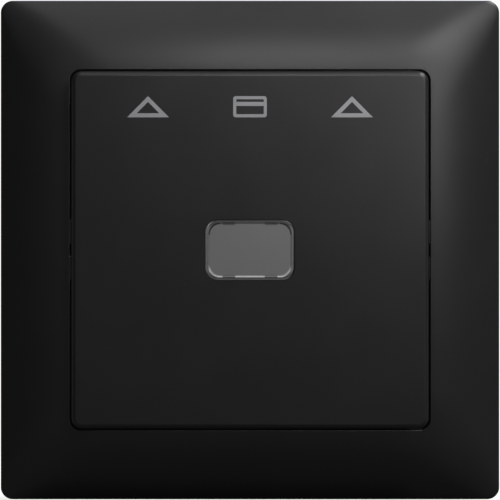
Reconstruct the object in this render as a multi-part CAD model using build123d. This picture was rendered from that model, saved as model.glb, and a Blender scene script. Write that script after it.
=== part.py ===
from build123d import *

import os
from math import cos, exp, radians, sin, sqrt, tan

# Hotel key card switch for a round wall box.
#
# The parts are drawn as they look from the front: x runs to the right, y runs up and z runs
# out of the wall towards the reader, with the wall at z = 0 and the box screws' middle at the
# origin. Each one is turned at the end so that up is +Z and the front faces -Y. Lengths are
# millimetres, angles are degrees.

# Cover frame
frame_over_ring = 4.75
frame_corner_radius = 1.95
frame_edge_height = 5.6
frame_edge_chamfer = 0.3
frame_wall = 1.8
front_tilt_outer = 34.0
front_tilt_inner = 6.0
front_rise = 3.95
front_corner_radius = 7.5
front_corner_depth = 2.0
opening_side = 58.2
opening_corner_radius = 1.8
collar_wall = 1.4
ledge_height = 2.3
ledge_thickness = 1.6
ledge_opening_side = 52.0
ledge_opening_radius = 3.0
stiffener_thickness = 1.2
stiffener_spacing = 36.0
centring_rib_length = 3.9
centring_rib_gap = 1.95
centring_rib_proud = 0.28

# Key card that the pocket takes, and the pocket
card_width = 53.98
card_thickness = 0.76
card_side_clearance = 0.36
card_face_clearance = 0.64
card_over_rim = 0.45

# Centre plate
plate_gap = 0.35
plate_corner_radius = 1.65
plate_face_thickness = 2.0
plate_edge_round = 0.8
plate_seat_gap = 0.05
pocket_corner_radius = 0.5
slot_lead_in = 0.6
pressure_rib_width = 1.2
pressure_rib_height = 0.2
pressure_rib_spacing = 34.0
pressure_rib_length = 30.0

# Lens in the centre plate
lens_width = 14.4
lens_height = 9.74
lens_corner_radius = 2.05
lens_proud = 0.35
lens_edge_round = 0.3
lens_flange_thickness = 1.1
lens_gap = 0.12
lens_step = 0.6
lens_wall = 0.7
lens_recess_depth = 0.12
lens_hook_width = 2.05
lens_hook_spacing = 6.8
lens_hook_proud = 0.14
lens_hook_height = 0.5
lens_back_gap = 0.1

# Card guide, the back wall of the pocket
guide_gap = 0.12
guide_wall = 1.8
guide_flank_wall = 1.4
guide_flank_length = 40.0
guide_flank_depth = 3.4
clip_length = 6.0
clip_height = 1.2
clip_proud = 0.5
clip_spacing = 26.0
clip_gap = 0.15
post_radius = 1.7
post_inset = 3.0
post_seat_gap = 0.05
leg_width = 8.0
leg_thickness = 1.3
leg_inset = 1.6
leg_hook = 0.6
leg_hook_height = 1.2
leg_gap = 0.2
guide_rib_thickness = 1.1
guide_rib_depth = 1.6

# Light window in the card guide
window_width = 12.0
window_height = 7.6
window_corner_radius = 1.4
window_flange = 1.0
window_flange_thickness = 0.8
window_gap = 0.1

# Card lever and its pin
lever_pin_inset = 4.73
lever_width = 12.0
lever_plate_thickness = 1.5
lever_recess = 0.35
lever_gap = 0.6
lever_barrel_radius = 2.3
lever_pin_radius = 1.0
lever_pin_clearance = 0.05
lever_pin_hold_clearance = 0.02
lever_pin_depth = 3.3
lever_tip = 3.4
lever_nose_width = 6.0
lever_nose_gap = 0.12
lever_nose_flat = 1.2
lever_ramp = 3.2
lever_pad_radius = 2.0
lever_pad_width = 5.0
lever_throw = 6.5
ear_thickness = 1.8
ear_gap = 0.2
ear_radius = 2.2

# Support ring
ring_over_screws = 5.5
ring_corner_cut = 9.0
ring_thickness = 1.2
ring_opening_gap = 0.7
box_screw_room = 10.0
box_slot_width = 4.2
box_slot_length = 7.0
ring_stiffener_width = 2.0
ring_stiffener_length = 20.0
ring_stiffener_drop = 0.6
ring_stiffener_inset = 5.0

# Switch base and cover
base_side = 40.0
base_corner_radius = 6.0
base_depth = 21.5
base_wall = 1.6
base_floor = 1.8
cover_plate_thickness = 1.6
cover_flange_lap = 2.0
cover_flange_radius = 4.0
cover_spigot_gap = 0.1
cover_spigot_depth = 2.4
cover_spigot_wall = 1.2
cover_collar_wall = 1.3
cover_collar_height = 1.6
cover_screw_head_radius = 1.9
cover_screw_head_height = 1.2
cover_screw_radius = 1.1
cover_screw_length = 10.0
cover_screw_clearance = 0.06
cover_screw_slot_width = 0.6
cover_screw_slot_depth = 0.6
boss_wall = 1.1
boss_drop = 0.4
upper_screw_inset = 4.8
lower_screw_inset = 2.4
lower_screw_gap = 2.54

# Plunger, its spring and the contacts
mechanism_inset = 10.0
plunger_side = 6.0
plunger_gap = 0.15
plunger_lift_gap = 0.05
plunger_shoulder_side = 8.4
plunger_shoulder_height = 1.4
plunger_shoulder_gap = 0.3
plunger_foot = 11.2
bridge_length = 21.0
bridge_width = 4.6
bridge_thickness = 0.8
bridge_drop = 6.0
bridge_slot_gap = 0.04
tip_radius = 1.5
tip_height = 0.7
tip_spacing = 17.0
contact_rest_gap = 0.06
strip_width = 4.6
strip_thickness = 0.8
bar_length = 11.6
bar_depth = 6.4
bar_inset = 0.5
spring_wire_radius = 0.3
spring_radius = 2.5
spring_turns = 6
spring_seat_radius = 1.7
spring_seat_height = 1.6
spring_seat_gap = 0.05

# Wire terminals at the back of the base
wire_hole_radius = 1.7
wire_hole_spacing = 7.6
wire_hole_inset = 3.0
wire_guide_width = 7.0
wire_guide_height = 12.6
wire_guide_proud = 0.8
wire_guide_gap = 0.1
wire_guide_lip = 0.6
wire_guide_depth = 3.6
release_width = 3.0
release_height = 2.4
release_gap = 0.15
release_stand = 0.4
release_travel = 1.5
release_bar_height = 11.2
release_bar_width = 1.2
release_bar_thickness = 0.9
release_bar_gap = 0.3
clamp_width = 3.6
clamp_thickness = 0.35
clamp_gap = 0.1
clamp_reach = 5.2
clamp_foot = 1.2
clamp_cage_height = 4.5
clamp_tip_drop = 1.3
clamp_bend_radius = 0.5

# Lamp unit behind the light window
lamp_board_width = 13.0
lamp_board_height = 8.6
lamp_board_thickness = 1.0
lamp_board_lift = 0.9
lamp_pin_radius = 0.5
lamp_pin_spacing = 9.0
lamp_pin_depth = 3.6
lamp_pin_clearance = 0.06
lamp_contact_width = 2.4
lamp_contact_thickness = 0.4
lamp_contact_gap = 0.05
lamp_contact_overlap = 1.2
lamp_contact_clearance = 0.6
lamp_body_side = 3.4
lamp_body_height = 1.2
lamp_dome_radius = 1.2
resistor_length = 3.2
resistor_radius = 0.75
resistor_y = 2.9

# Claws that grip the wall box, above and below the base
claw_screw_gap = 2.9
claw_screw_radius = 1.5
claw_screw_length = 18.6
claw_screw_clearance = 0.15
claw_head_radius = 2.6
claw_head_height = 1.7
claw_head_notch_gap = 0.3
claw_foot_gap = 0.3
claw_slot_width = 0.8
claw_slot_depth = 0.8
claw_nut_side = 5.4
claw_nut_thickness = 2.0
claw_nut_depth = 15.5
claw_nut_clearance = 0.05
claw_pitch = 0.5
claw_lift = 3.6
claw_ramp_angle = 35.0
claw_thickness = 1.2
claw_width = 10.0
claw_gap = 0.1
claw_fork_width = 3.4
claw_tab_reach = 3.3
claw_tooth_rise = 4.6
claw_tooth_lean = 2.0
claw_tooth_count = 4
claw_ramp_rib_width = 1.5
claw_ramp_rib_spacing = 8.0

# How far a cut runs past the material it goes through
overrun = 1.0

# Widths that follow from the base's: the claws, the ring and the frame lie around it
base_inside = base_side / 2 - base_wall
claw_screw_distance = base_side / 2 + claw_screw_gap
claw_tab_end = claw_screw_distance + claw_tab_reach
box_screw_spacing = base_side + 2 * box_screw_room
ring_side = box_screw_spacing + 2 * ring_over_screws
frame_side = ring_side + 2 * frame_over_ring
front_width = (frame_side - opening_side) / 2
spigot_side = 2 * (base_inside - cover_spigot_gap)
spigot_radius = base_corner_radius - base_wall - cover_spigot_gap
ring_opening_side = spigot_side + 2 * ring_opening_gap
ring_opening_radius = spigot_radius + ring_opening_gap
cover_flange_side = ring_opening_side + 2 * cover_flange_lap
post_spacing = cover_flange_side - 2 * post_inset
leg_spacing = spigot_side - 2 * (cover_spigot_wall + leg_inset)
mechanism_y = mechanism_inset - base_side / 2

# Heights and places that follow from the sizes above
rim_height = frame_edge_height + front_rise
pocket_back = rim_height + card_over_rim
pocket_front = pocket_back + card_thickness + card_face_clearance
pocket_width = card_width + 2 * card_side_clearance
plate_front = pocket_front + plate_face_thickness
plate_side = opening_side - 2 * plate_gap
ledge_top = ledge_height + ledge_thickness
skirt_low = ledge_top + plate_seat_gap
guide_side = pocket_width - 2 * guide_gap
guide_back = pocket_back - guide_wall
cover_front = ring_thickness + cover_plate_thickness
base_back = -base_depth
floor_top = base_back + base_floor
spigot_low = -cover_spigot_depth
lever_front = pocket_back - lever_recess
lever_pin_y = lever_pin_inset - guide_side / 2
lever_arm = mechanism_y - lever_pin_y
lever_pin_z = pocket_back - lever_pin_depth
lever_pad_z = lever_front - lever_plate_thickness
plunger_top = lever_pad_z - lever_pad_radius - plunger_lift_gap
plunger_travel = lever_arm * sin(radians(lever_throw)) + (lever_pad_z - lever_pin_z) * (
    1 - cos(radians(lever_throw))
)
bridge_z = -bridge_drop
moving_tip_low = bridge_z - bridge_thickness / 2 - tip_height
fixed_tip_top = moving_tip_low - plunger_travel - contact_rest_gap
strip_top = fixed_tip_top - tip_height
bar_x = base_inside - bar_inset - strip_thickness
wire_x = bar_x - wire_hole_inset + strip_thickness
wire_guide_top = base_back + wire_guide_depth
release_bar_low = wire_guide_top + release_bar_gap
screw_boss_radius = cover_screw_radius + cover_screw_clearance + boss_wall
upper_screw = base_inside - upper_screw_inset
lower_screw_x = wire_x - wire_guide_width / 2 - screw_boss_radius - lower_screw_gap
lower_screw_y = lower_screw_inset - base_inside
release_x = wire_x - wire_guide_width / 2 + wire_guide_lip + release_gap + release_width / 2
clamp_low = release_bar_low + release_bar_thickness + clamp_gap + clamp_thickness / 2
lamp_arm_top = cover_front - lamp_pin_depth - lamp_contact_gap
lamp_contact_x = bridge_length / 2 + lamp_contact_clearance
claw_slide_length = claw_lift / cos(radians(claw_ramp_angle))
screw_places = [
    (-upper_screw, upper_screw),
    (upper_screw, upper_screw),
    (-lower_screw_x, lower_screw_y),
    (lower_screw_x, lower_screw_y),
]
post_places = [
    (sx * post_spacing / 2, sy * post_spacing / 2) for sx in (-1, 1) for sy in (-1, 1)
]


def slab(width, height, low, high, radius=0.0, x=0.0, y=0.0):
    """Plate of that width and height about (x, y), with rounded corners, from z low to high."""
    outline = RectangleRounded(width, height, radius) if radius else Rectangle(width, height)
    return Pos(x, y, low) * extrude(outline, amount=high - low)


def rod(radius, low, high, x=0.0, y=0.0):
    """Round bar along z."""
    return Pos(x, y, low) * extrude(Circle(radius), amount=high - low)


def bar_along_x(radius, half_length, y, z):
    """Round bar along x, centred on x = 0."""
    return Pos(-half_length, y, z) * (Rot(0, 90, 0) * extrude(Circle(radius), amount=2 * half_length))


def side_profile(points, width, x=0.0):
    """Outline in y and z, made width wide along x about that x."""
    face = make_face(Polyline(*points, close=True))
    return Pos(x, 0, 0) * extrude(Plane.YZ * face, amount=width / 2, both=True)


def slotted_head(radius, low, height, slot_width, slot_depth, x, y):
    """Round screw head that starts at z low, with a screwdriver slot."""
    head = rod(radius, low, low + height, x, y)
    top = low + height
    head = head - slab(2 * (radius + overrun), slot_width, top - slot_depth, top + overrun, x=x, y=y)
    return head


def front_contour(inset):
    """Section of the frame's curved front at that distance inside its outline."""
    outer = radians(front_tilt_outer)
    inner = radians(front_tilt_inner)
    share = (inset - frame_edge_chamfer) / (front_width - frame_edge_chamfer)
    tilt_sine = sin(outer) - share * (sin(outer) - sin(inner))
    rise = front_rise * (sqrt(1 - tilt_sine**2) - cos(outer)) / (cos(inner) - cos(outer))
    growth = 1 - exp(-inset / front_corner_depth)
    radius = frame_corner_radius + (front_corner_radius - frame_corner_radius) * growth
    side = frame_side - 2 * inset
    return Pos(0, 0, frame_edge_height + rise) * RectangleRounded(side, side, radius)


def cover_frame():
    """Square frame whose front swells from a low outer edge to the rim of its opening."""
    inset_shares = (0.0, 0.06, 0.14, 0.25, 0.4, 0.6, 0.8, 1.0)
    run = front_width - frame_edge_chamfer
    curved = loft([front_contour(frame_edge_chamfer + share * run) for share in inset_shares])
    sill = frame_edge_height - frame_edge_chamfer
    flank = slab(frame_side, frame_side, 0, sill, frame_corner_radius)
    chamfer = loft(
        [Pos(0, 0, sill) * RectangleRounded(frame_side, frame_side, frame_corner_radius),
         front_contour(frame_edge_chamfer)],
        ruled=True,
    )
    inner_side = frame_side - 2 * frame_wall
    inner_radius = frame_wall
    collar_side = opening_side + 2 * collar_wall
    shoulder = frame_edge_height - frame_wall / 2
    cavity = slab(inner_side, inner_side, -overrun, shoulder, inner_radius)
    cavity = cavity + loft(
        [Pos(0, 0, shoulder) * RectangleRounded(inner_side, inner_side, inner_radius),
         Pos(0, 0, rim_height - frame_wall) * RectangleRounded(collar_side, collar_side, inner_radius)],
        ruled=True,
    )
    body = flank + chamfer + curved - cavity
    collar_radius = opening_corner_radius + collar_wall
    collar = slab(collar_side, collar_side, ledge_height, rim_height - frame_wall / 2, collar_radius)
    stiffeners = []
    stiffener_top = rim_height - frame_wall
    for offset in (-stiffener_spacing / 2, stiffener_spacing / 2):
        stiffeners.append(slab(inner_side, stiffener_thickness, ledge_height, stiffener_top, y=offset))
        stiffeners.append(slab(stiffener_thickness, inner_side, ledge_height, stiffener_top, x=offset))
    envelope = flank + chamfer + curved
    for web in stiffeners:
        body = body + (web & envelope)
    body = body + (collar & envelope)
    opening = slab(opening_side, opening_side, ledge_top, rim_height + overrun, opening_corner_radius)
    body = body - opening
    body = body - slab(
        ledge_opening_side, ledge_opening_side, -overrun, ledge_top + overrun, ledge_opening_radius
    )
    rib_y = (centring_rib_length + centring_rib_gap) / 2
    rib_depth = collar_wall / 2 + centring_rib_proud
    rib_x = opening_side / 2 - centring_rib_proud + rib_depth / 2
    rib_top = rim_height - frame_edge_chamfer
    for side in (-1, 1):
        for level in (-1, 1):
            body = body + slab(
                rib_depth, centring_rib_length, ledge_top, rib_top, x=side * rib_x, y=level * rib_y
            )
    return body


def centre_plate():
    """Raised square cover that forms the front and sides of the card pocket."""
    block = slab(plate_side, plate_side, skirt_low, plate_front, plate_corner_radius)
    block = fillet(block.faces().sort_by(Axis.Z)[-1].edges(), plate_edge_round)
    block = block - slab(
        pocket_width, pocket_width, skirt_low - overrun, pocket_front, pocket_corner_radius
    )
    reach = plate_side / 2 + overrun
    block = block - slab(pocket_width, reach, pocket_back, pocket_front, y=reach / 2)
    lead = [
        (plate_side / 2 + overrun, pocket_front + slot_lead_in + overrun),
        (plate_side / 2 + overrun, pocket_front - overrun),
        (plate_side / 2 - slot_lead_in - overrun, pocket_front - overrun),
    ]
    block = block - side_profile(lead, pocket_width)
    step_side = 2 * lens_step
    block = block - slab(
        lens_width + 2 * lens_gap,
        lens_height + 2 * lens_gap,
        plate_front + lens_proud - lens_flange_thickness,
        plate_front + overrun,
        lens_corner_radius + lens_gap,
    )
    block = block - slab(
        lens_width - step_side + 2 * lens_gap,
        lens_height - step_side + 2 * lens_gap,
        pocket_front - overrun,
        plate_front,
        lens_corner_radius - lens_step + lens_gap,
    )
    nib_seat = lens_height - step_side + 2 * (lens_hook_proud + lens_gap)
    for offset in (-lens_hook_spacing / 2, lens_hook_spacing / 2):
        block = block - slab(
            lens_hook_width + 2 * lens_gap,
            nib_seat,
            pocket_front - overrun,
            pocket_front + lens_back_gap + lens_hook_height + lens_gap / 2,
            x=offset,
        )
    for offset in (-pressure_rib_spacing / 2, pressure_rib_spacing / 2):
        block = block + slab(
            pressure_rib_width,
            pressure_rib_length,
            pocket_front - pressure_rib_height,
            pocket_front + pressure_rib_height,
            x=offset,
        )
    for level in (-clip_spacing / 2, clip_spacing / 2):
        block = block - clip_windows(level)
    return block


def clip_windows(level):
    """Cuts in both flanks of the centre plate for the guide's clips at that height."""
    low = guide_back - guide_flank_depth / 2 - clip_height / 2 - clip_gap
    high = low + clip_height + 2 * clip_gap
    return slab(plate_side + 2 * overrun, clip_length + 2 * clip_gap, low, high, y=level)


def lens():
    """Smoked cap with a rounded rim, a shallow flat and a hollow plug with four snap nibs."""
    top = plate_front + lens_proud
    flange_low = top - lens_flange_thickness
    flange = slab(lens_width, lens_height, flange_low, top, lens_corner_radius)
    flange = fillet(flange.faces().sort_by(Axis.Z)[-1].edges(), lens_edge_round)
    plug_width = lens_width - 2 * lens_step
    plug_height = lens_height - 2 * lens_step
    plug_radius = lens_corner_radius - lens_step
    plug_low = pocket_front + lens_back_gap
    body = flange + slab(plug_width, plug_height, plug_low, flange_low, plug_radius)
    body = body - slab(plug_width, plug_height, top - lens_recess_depth, top + overrun, plug_radius)
    hollow_radius = plug_radius - lens_wall
    body = body - slab(
        plug_width - 2 * lens_wall,
        plug_height - 2 * lens_wall,
        plug_low - overrun,
        flange_low,
        hollow_radius,
    )
    nib_reach = plug_height + 2 * lens_hook_proud
    hollow_reach = plug_height - lens_wall
    for offset in (-lens_hook_spacing / 2, lens_hook_spacing / 2):
        nib = slab(lens_hook_width, nib_reach, plug_low, plug_low + lens_hook_height, x=offset)
        nib = nib - slab(
            lens_hook_width + 2 * overrun, hollow_reach, plug_low - overrun, flange_low, x=offset
        )
        body = body + nib
    return body


def card_guide():
    """Back wall of the pocket on four posts, with clips, two snap legs and ears for the pin."""
    body = slab(guide_side, guide_side, guide_back, pocket_back, pocket_corner_radius)
    lead = [
        (guide_side / 2 + overrun, pocket_back - slot_lead_in - overrun),
        (guide_side / 2 + overrun, pocket_back + overrun),
        (guide_side / 2 - slot_lead_in - overrun, pocket_back + overrun),
    ]
    body = body - side_profile(lead, guide_side + 2 * overrun)
    flank_low = guide_back - guide_flank_depth
    flank_x = guide_side / 2 - guide_flank_wall / 2
    for side in (-1, 1):
        body = body + slab(guide_flank_wall, guide_flank_length, flank_low, guide_back, x=side * flank_x)
        for level in (-clip_spacing / 2, clip_spacing / 2):
            clip_low = guide_back - guide_flank_depth / 2 - clip_height / 2
            reach = guide_flank_wall / 2 + clip_proud
            clip_x = guide_side / 2 + clip_proud - reach / 2
            body = body + slab(
                reach, clip_length, clip_low, clip_low + clip_height, x=side * clip_x, y=level
            )
    rib_span = post_spacing + guide_rib_thickness
    for offset in (-post_spacing / 2, post_spacing / 2):
        body = body + slab(
            guide_rib_thickness, rib_span, guide_back - guide_rib_depth, guide_back, x=offset
        )
    body = body + slab(
        rib_span, guide_rib_thickness, guide_back - guide_rib_depth, guide_back, y=post_spacing / 2
    )
    for x, y in post_places:
        body = body + rod(post_radius, cover_front + post_seat_gap, guide_back, x, y)
    for side in (-1, 1):
        body = body + snap_leg(side)
        ear_x = side * (lever_width / 2 + ear_gap + ear_thickness / 2)
        ear = side_profile(
            [
                (lever_pin_y - ear_radius, guide_back),
                (lever_pin_y - ear_radius, lever_pin_z),
                (lever_pin_y + ear_radius, lever_pin_z),
                (lever_pin_y + ear_radius, guide_back),
            ],
            ear_thickness,
            ear_x,
        )
        tip = Pos(ear_x - lever_width, 0, 0) * bar_along_x(
            ear_radius, ear_thickness / 2, lever_pin_y, lever_pin_z
        )
        body = body + ear + Pos(lever_width, 0, 0) * tip
    lever_top = mechanism_y + lever_tip + lever_gap
    lever_bottom = lever_pin_y - lever_barrel_radius - lever_gap
    body = body - slab(
        lever_width + 2 * ear_gap,
        lever_top - lever_bottom,
        guide_back - overrun,
        pocket_back + overrun,
        y=(lever_top + lever_bottom) / 2,
    )
    hole = lever_pin_radius + lever_pin_hold_clearance
    body = body - bar_along_x(hole, guide_side / 2, lever_pin_y, lever_pin_z)
    body = body - slab(
        window_width + 2 * window_gap,
        window_height + 2 * window_gap,
        guide_back - overrun,
        pocket_back + overrun,
        window_corner_radius + window_gap,
    )
    return body


def snap_leg(side):
    """Springy leg that drops through the switch cover and hooks under it."""
    leg_x = side * leg_spacing / 2
    hook_top = ring_thickness - leg_gap
    hook_low = hook_top - leg_hook_height
    leg = slab(leg_thickness, leg_width, hook_low, guide_back, x=leg_x)
    hook_x = leg_x + side * (leg_thickness / 2 + leg_hook) / 2
    hook = slab(leg_thickness / 2 + leg_hook, leg_width, hook_low, hook_top, x=hook_x)
    return leg + hook


def light_window():
    """Clear plate that lets the lamp's light through the back of the pocket."""
    pane = slab(window_width, window_height, guide_back, lever_front, window_corner_radius)
    flange = slab(
        window_width + 2 * window_flange,
        window_height + 2 * window_flange,
        guide_back - window_flange_thickness,
        guide_back - window_gap / 2,
        window_corner_radius + window_flange,
    )
    return pane + slab(
        window_width, window_height, guide_back - window_gap, guide_back, window_corner_radius
    ) + flange


def card_lever():
    """Lever that the card's edge pushes back, with a ramped nose and a round pad behind it."""
    low = lever_front - lever_plate_thickness
    tip_y = mechanism_y + lever_tip
    plate = slab(
        lever_width, tip_y - lever_pin_y, low, lever_front, y=(tip_y + lever_pin_y) / 2
    )
    barrel = bar_along_x(lever_barrel_radius, lever_width / 2, lever_pin_y, lever_pin_z)
    web = side_profile(
        [
            (lever_pin_y - lever_barrel_radius, lever_pin_z),
            (lever_pin_y + lever_barrel_radius, lever_pin_z),
            (lever_pin_y + lever_barrel_radius, lever_front),
            (lever_pin_y, lever_front),
        ],
        lever_width,
    )
    nose_top = pocket_front - lever_nose_gap
    crest = mechanism_y + lever_nose_flat / 2
    back = mechanism_y - lever_nose_flat / 2
    nose = side_profile(
        [
            (crest + lever_ramp, lever_front - lever_plate_thickness / 2),
            (crest + lever_ramp, lever_front),
            (crest, nose_top),
            (back, nose_top),
            (back - lever_ramp, lever_front),
            (back - lever_ramp, lever_front - lever_plate_thickness / 2),
        ],
        lever_nose_width,
    )
    pad = bar_along_x(lever_pad_radius, lever_pad_width / 2, mechanism_y, lever_pad_z)
    pad = pad - slab(
        lever_width, 2 * lever_pad_radius + overrun, lever_pad_z + overrun / 2, plate_front, y=mechanism_y
    )
    bore = bar_along_x(lever_pin_radius + lever_pin_clearance, lever_width, lever_pin_y, lever_pin_z)
    return plate + web + barrel + nose + pad - bore


def lever_pin():
    """Steel pin that the card lever turns on."""
    half = lever_width / 2 + ear_gap + ear_thickness
    pin = bar_along_x(lever_pin_radius, half, lever_pin_y, lever_pin_z)
    return chamfer(pin.edges(), lever_pin_radius / 4)


def support_ring():
    """Steel plate that is screwed to the wall box and carries the insert."""
    half = ring_side / 2
    cut = half - ring_corner_cut
    outline = [
        (half, -cut), (half, cut), (cut, half), (-cut, half),
        (-half, cut), (-half, -cut), (-cut, -half), (cut, -half),
    ]
    plate = extrude(make_face(Polyline(*outline, close=True)), amount=ring_thickness)
    plate = plate - slab(
        ring_opening_side, ring_opening_side, -overrun, ring_thickness + overrun, ring_opening_radius
    )
    reach = box_screw_spacing / 2
    through = ring_thickness + 2 * overrun
    for side in (-1, 1):
        slot = extrude(SlotOverall(box_slot_length, box_slot_width), amount=through)
        plate = plate - Pos(side * reach, 0, -overrun) * slot
        plate = plate - Pos(0, side * reach, -overrun) * (Rot(0, 0, 90) * slot)
        plate = plate - rod(
            claw_screw_radius + claw_screw_clearance,
            -overrun,
            ring_thickness + overrun,
            y=side * claw_screw_distance,
        )
        for end in (-1, 1):
            plate = plate - ring_stiffener_groove(side, end)
    return plate


def ring_stiffener_groove(side, end):
    """Shallow pressed groove beside a box screw slot, cut from the front of the ring."""
    low = ring_thickness - ring_stiffener_drop
    high = ring_thickness + overrun
    height = (ring_stiffener_length - box_slot_length) / 2
    x = side * (ring_side / 2 - ring_stiffener_inset)
    y = end * (box_slot_width + height)
    return slab(ring_stiffener_width, height, low, high, x=x, y=y)


def switch_base():
    """Moulded box behind the ring that holds the contacts and the wire terminals."""
    body = slab(base_side, base_side, base_back, 0, base_corner_radius)
    inside = 2 * base_inside
    body = body - slab(inside, inside, floor_top, overrun, base_corner_radius - base_wall)
    boss_top = spigot_low - boss_drop
    for x, y in screw_places:
        body = body + rod(screw_boss_radius, floor_top, boss_top, x, y)
    for x, y in screw_places:
        body = body - rod(
            cover_screw_radius + cover_screw_clearance,
            cover_front - cover_screw_length - cover_screw_clearance,
            boss_top + overrun,
            x,
            y,
        )
    body = body + rod(spring_seat_radius, floor_top, floor_top + spring_seat_height, y=mechanism_y)
    for side in (-1, 1):
        body = body - slab(
            wire_guide_width + 2 * wire_guide_gap,
            wire_guide_height + 2 * wire_guide_gap,
            base_back - overrun,
            wire_guide_top + wire_guide_gap,
            x=side * wire_x,
            y=mechanism_y,
        )
    for end in (-1, 1):
        body = body + claw_ramp(end)
    return body


def ramp_line(z):
    """Distance from the middle to the face that a claw slides on, at height z."""
    tab_low = -claw_nut_depth + claw_gap / 2
    inner = base_side / 2 + claw_foot_gap
    return inner + (z - tab_low) * tan(radians(claw_ramp_angle))


def claw_ramp(end):
    """Pair of wedge ribs on the base that push a claw outwards as it is pulled forward."""
    wall = base_side / 2 - base_wall / 2
    ramp_top = -claw_nut_depth + claw_thickness + claw_lift + claw_gap
    ramp_foot = -claw_nut_depth - claw_thickness
    gap = claw_gap / cos(radians(claw_ramp_angle))
    outline = [
        (end * wall, ramp_foot),
        (end * max(ramp_line(ramp_foot) - gap, wall), ramp_foot),
        (end * (ramp_line(ramp_top) - gap), ramp_top),
        (end * wall, ramp_top),
    ]
    offset = claw_ramp_rib_spacing / 2
    left = side_profile(outline, claw_ramp_rib_width, -offset)
    return left + side_profile(outline, claw_ramp_rib_width, offset)


def switch_cover():
    """Moulded lid in front of the ring, with the plunger's collar and the lamp's sockets."""
    lid = slab(cover_flange_side, cover_flange_side, ring_thickness, cover_front, cover_flange_radius)
    spigot = slab(spigot_side, spigot_side, spigot_low, ring_thickness, spigot_radius)
    hollow_side = spigot_side - 2 * cover_spigot_wall
    spigot = spigot - slab(
        hollow_side, hollow_side, spigot_low - overrun, ring_thickness, spigot_radius - cover_spigot_wall
    )
    body = lid + spigot
    for x, y in screw_places:
        body = body + rod(screw_boss_radius, spigot_low, ring_thickness, x, y)
    collar_side = plunger_side + 2 * (plunger_gap + cover_collar_wall)
    body = body + slab(
        collar_side, collar_side, cover_front, cover_front + cover_collar_height, y=mechanism_y
    )
    hole = plunger_side + 2 * plunger_gap
    body = body - slab(
        hole, hole, ring_thickness - overrun, cover_front + cover_collar_height + overrun, y=mechanism_y
    )
    for x, y in screw_places:
        body = body - rod(
            cover_screw_radius + cover_screw_clearance, spigot_low - overrun, cover_front + overrun, x, y
        )
    for side in (-1, 1):
        body = body - slab(
            leg_thickness + leg_hook + 2 * leg_gap,
            leg_width + 2 * leg_gap,
            ring_thickness - overrun,
            cover_front + overrun,
            x=side * (leg_spacing + leg_hook) / 2,
        )
        body = body - rod(
            claw_head_radius + claw_head_notch_gap,
            ring_thickness - overrun,
            cover_front + overrun,
            y=side * claw_screw_distance,
        )
        body = body - rod(
            lamp_pin_radius + lamp_pin_clearance,
            ring_thickness - overrun,
            cover_front + overrun,
            x=side * lamp_pin_spacing / 2,
        )
    return body


def cover_screws():
    """Four screws that clamp the ring between the cover and the base."""
    screws = []
    for x, y in screw_places:
        head = slotted_head(
            cover_screw_head_radius,
            cover_front,
            cover_screw_head_height,
            cover_screw_slot_width,
            cover_screw_slot_depth,
            x,
            y,
        )
        shank = rod(cover_screw_radius, cover_front - cover_screw_length, cover_front, x, y)
        screws.append(head + shank)
    return screws


def plunger():
    """Square push rod of the switch, with a shoulder and a slot for the contact bridge."""
    foot = -plunger_foot
    body = slab(plunger_side, plunger_side, foot, plunger_top, y=mechanism_y)
    shoulder_top = ring_thickness - plunger_shoulder_gap
    body = body + slab(
        plunger_shoulder_side,
        plunger_shoulder_side,
        shoulder_top - plunger_shoulder_height,
        shoulder_top,
        y=mechanism_y,
    )
    body = body - slab(
        plunger_shoulder_side + overrun,
        bridge_width + 2 * bridge_slot_gap,
        bridge_z - bridge_thickness / 2 - bridge_slot_gap,
        bridge_z + bridge_thickness / 2 + bridge_slot_gap,
        y=mechanism_y,
    )
    seat = spring_seat_radius
    return body + rod(seat, foot - spring_seat_height, foot, y=mechanism_y)


def plunger_spring():
    """Coil spring that pushes the plunger forward, from the base's floor to the plunger."""
    low = floor_top + spring_wire_radius + spring_seat_gap
    high = -plunger_foot - spring_wire_radius - spring_seat_gap
    pitch = (high - low) / spring_turns
    path = Pos(0, mechanism_y, low) * Helix(pitch, high - low, spring_radius)
    start = Plane(origin=path @ 0, z_dir=path % 0)
    return sweep(start * Circle(spring_wire_radius), path=path, is_frenet=True)


def contact_bridge():
    """Springy strip that rides in the plunger and joins the two fixed contacts."""
    low = bridge_z - bridge_thickness / 2
    return slab(bridge_length, bridge_width, low, low + bridge_thickness, y=mechanism_y)


def contact_tips(low, high):
    """Pair of round silver contact tips between those heights."""
    return [
        rod(tip_radius, low, high, side * tip_spacing / 2, mechanism_y) for side in (-1, 1)
    ]


def fixed_contact(side):
    """Strip that carries a fixed tip and runs out and back to its terminal bar."""
    inner = tip_spacing / 2 - tip_radius - strip_thickness / 2
    shelf = slab(
        bar_x + strip_thickness - inner,
        strip_width,
        strip_top - strip_thickness,
        strip_top,
        x=side * (bar_x + strip_thickness + inner) / 2,
        y=mechanism_y,
    )
    bar_low = wire_guide_top + clamp_gap
    bar = slab(
        strip_thickness,
        bar_length,
        bar_low,
        bar_low + bar_depth,
        x=side * (bar_x + strip_thickness / 2),
        y=mechanism_y,
    )
    riser = slab(
        strip_thickness,
        strip_width,
        bar_low,
        strip_top,
        x=side * (bar_x + strip_thickness / 2),
        y=mechanism_y,
    )
    return shelf + bar + riser


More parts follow.
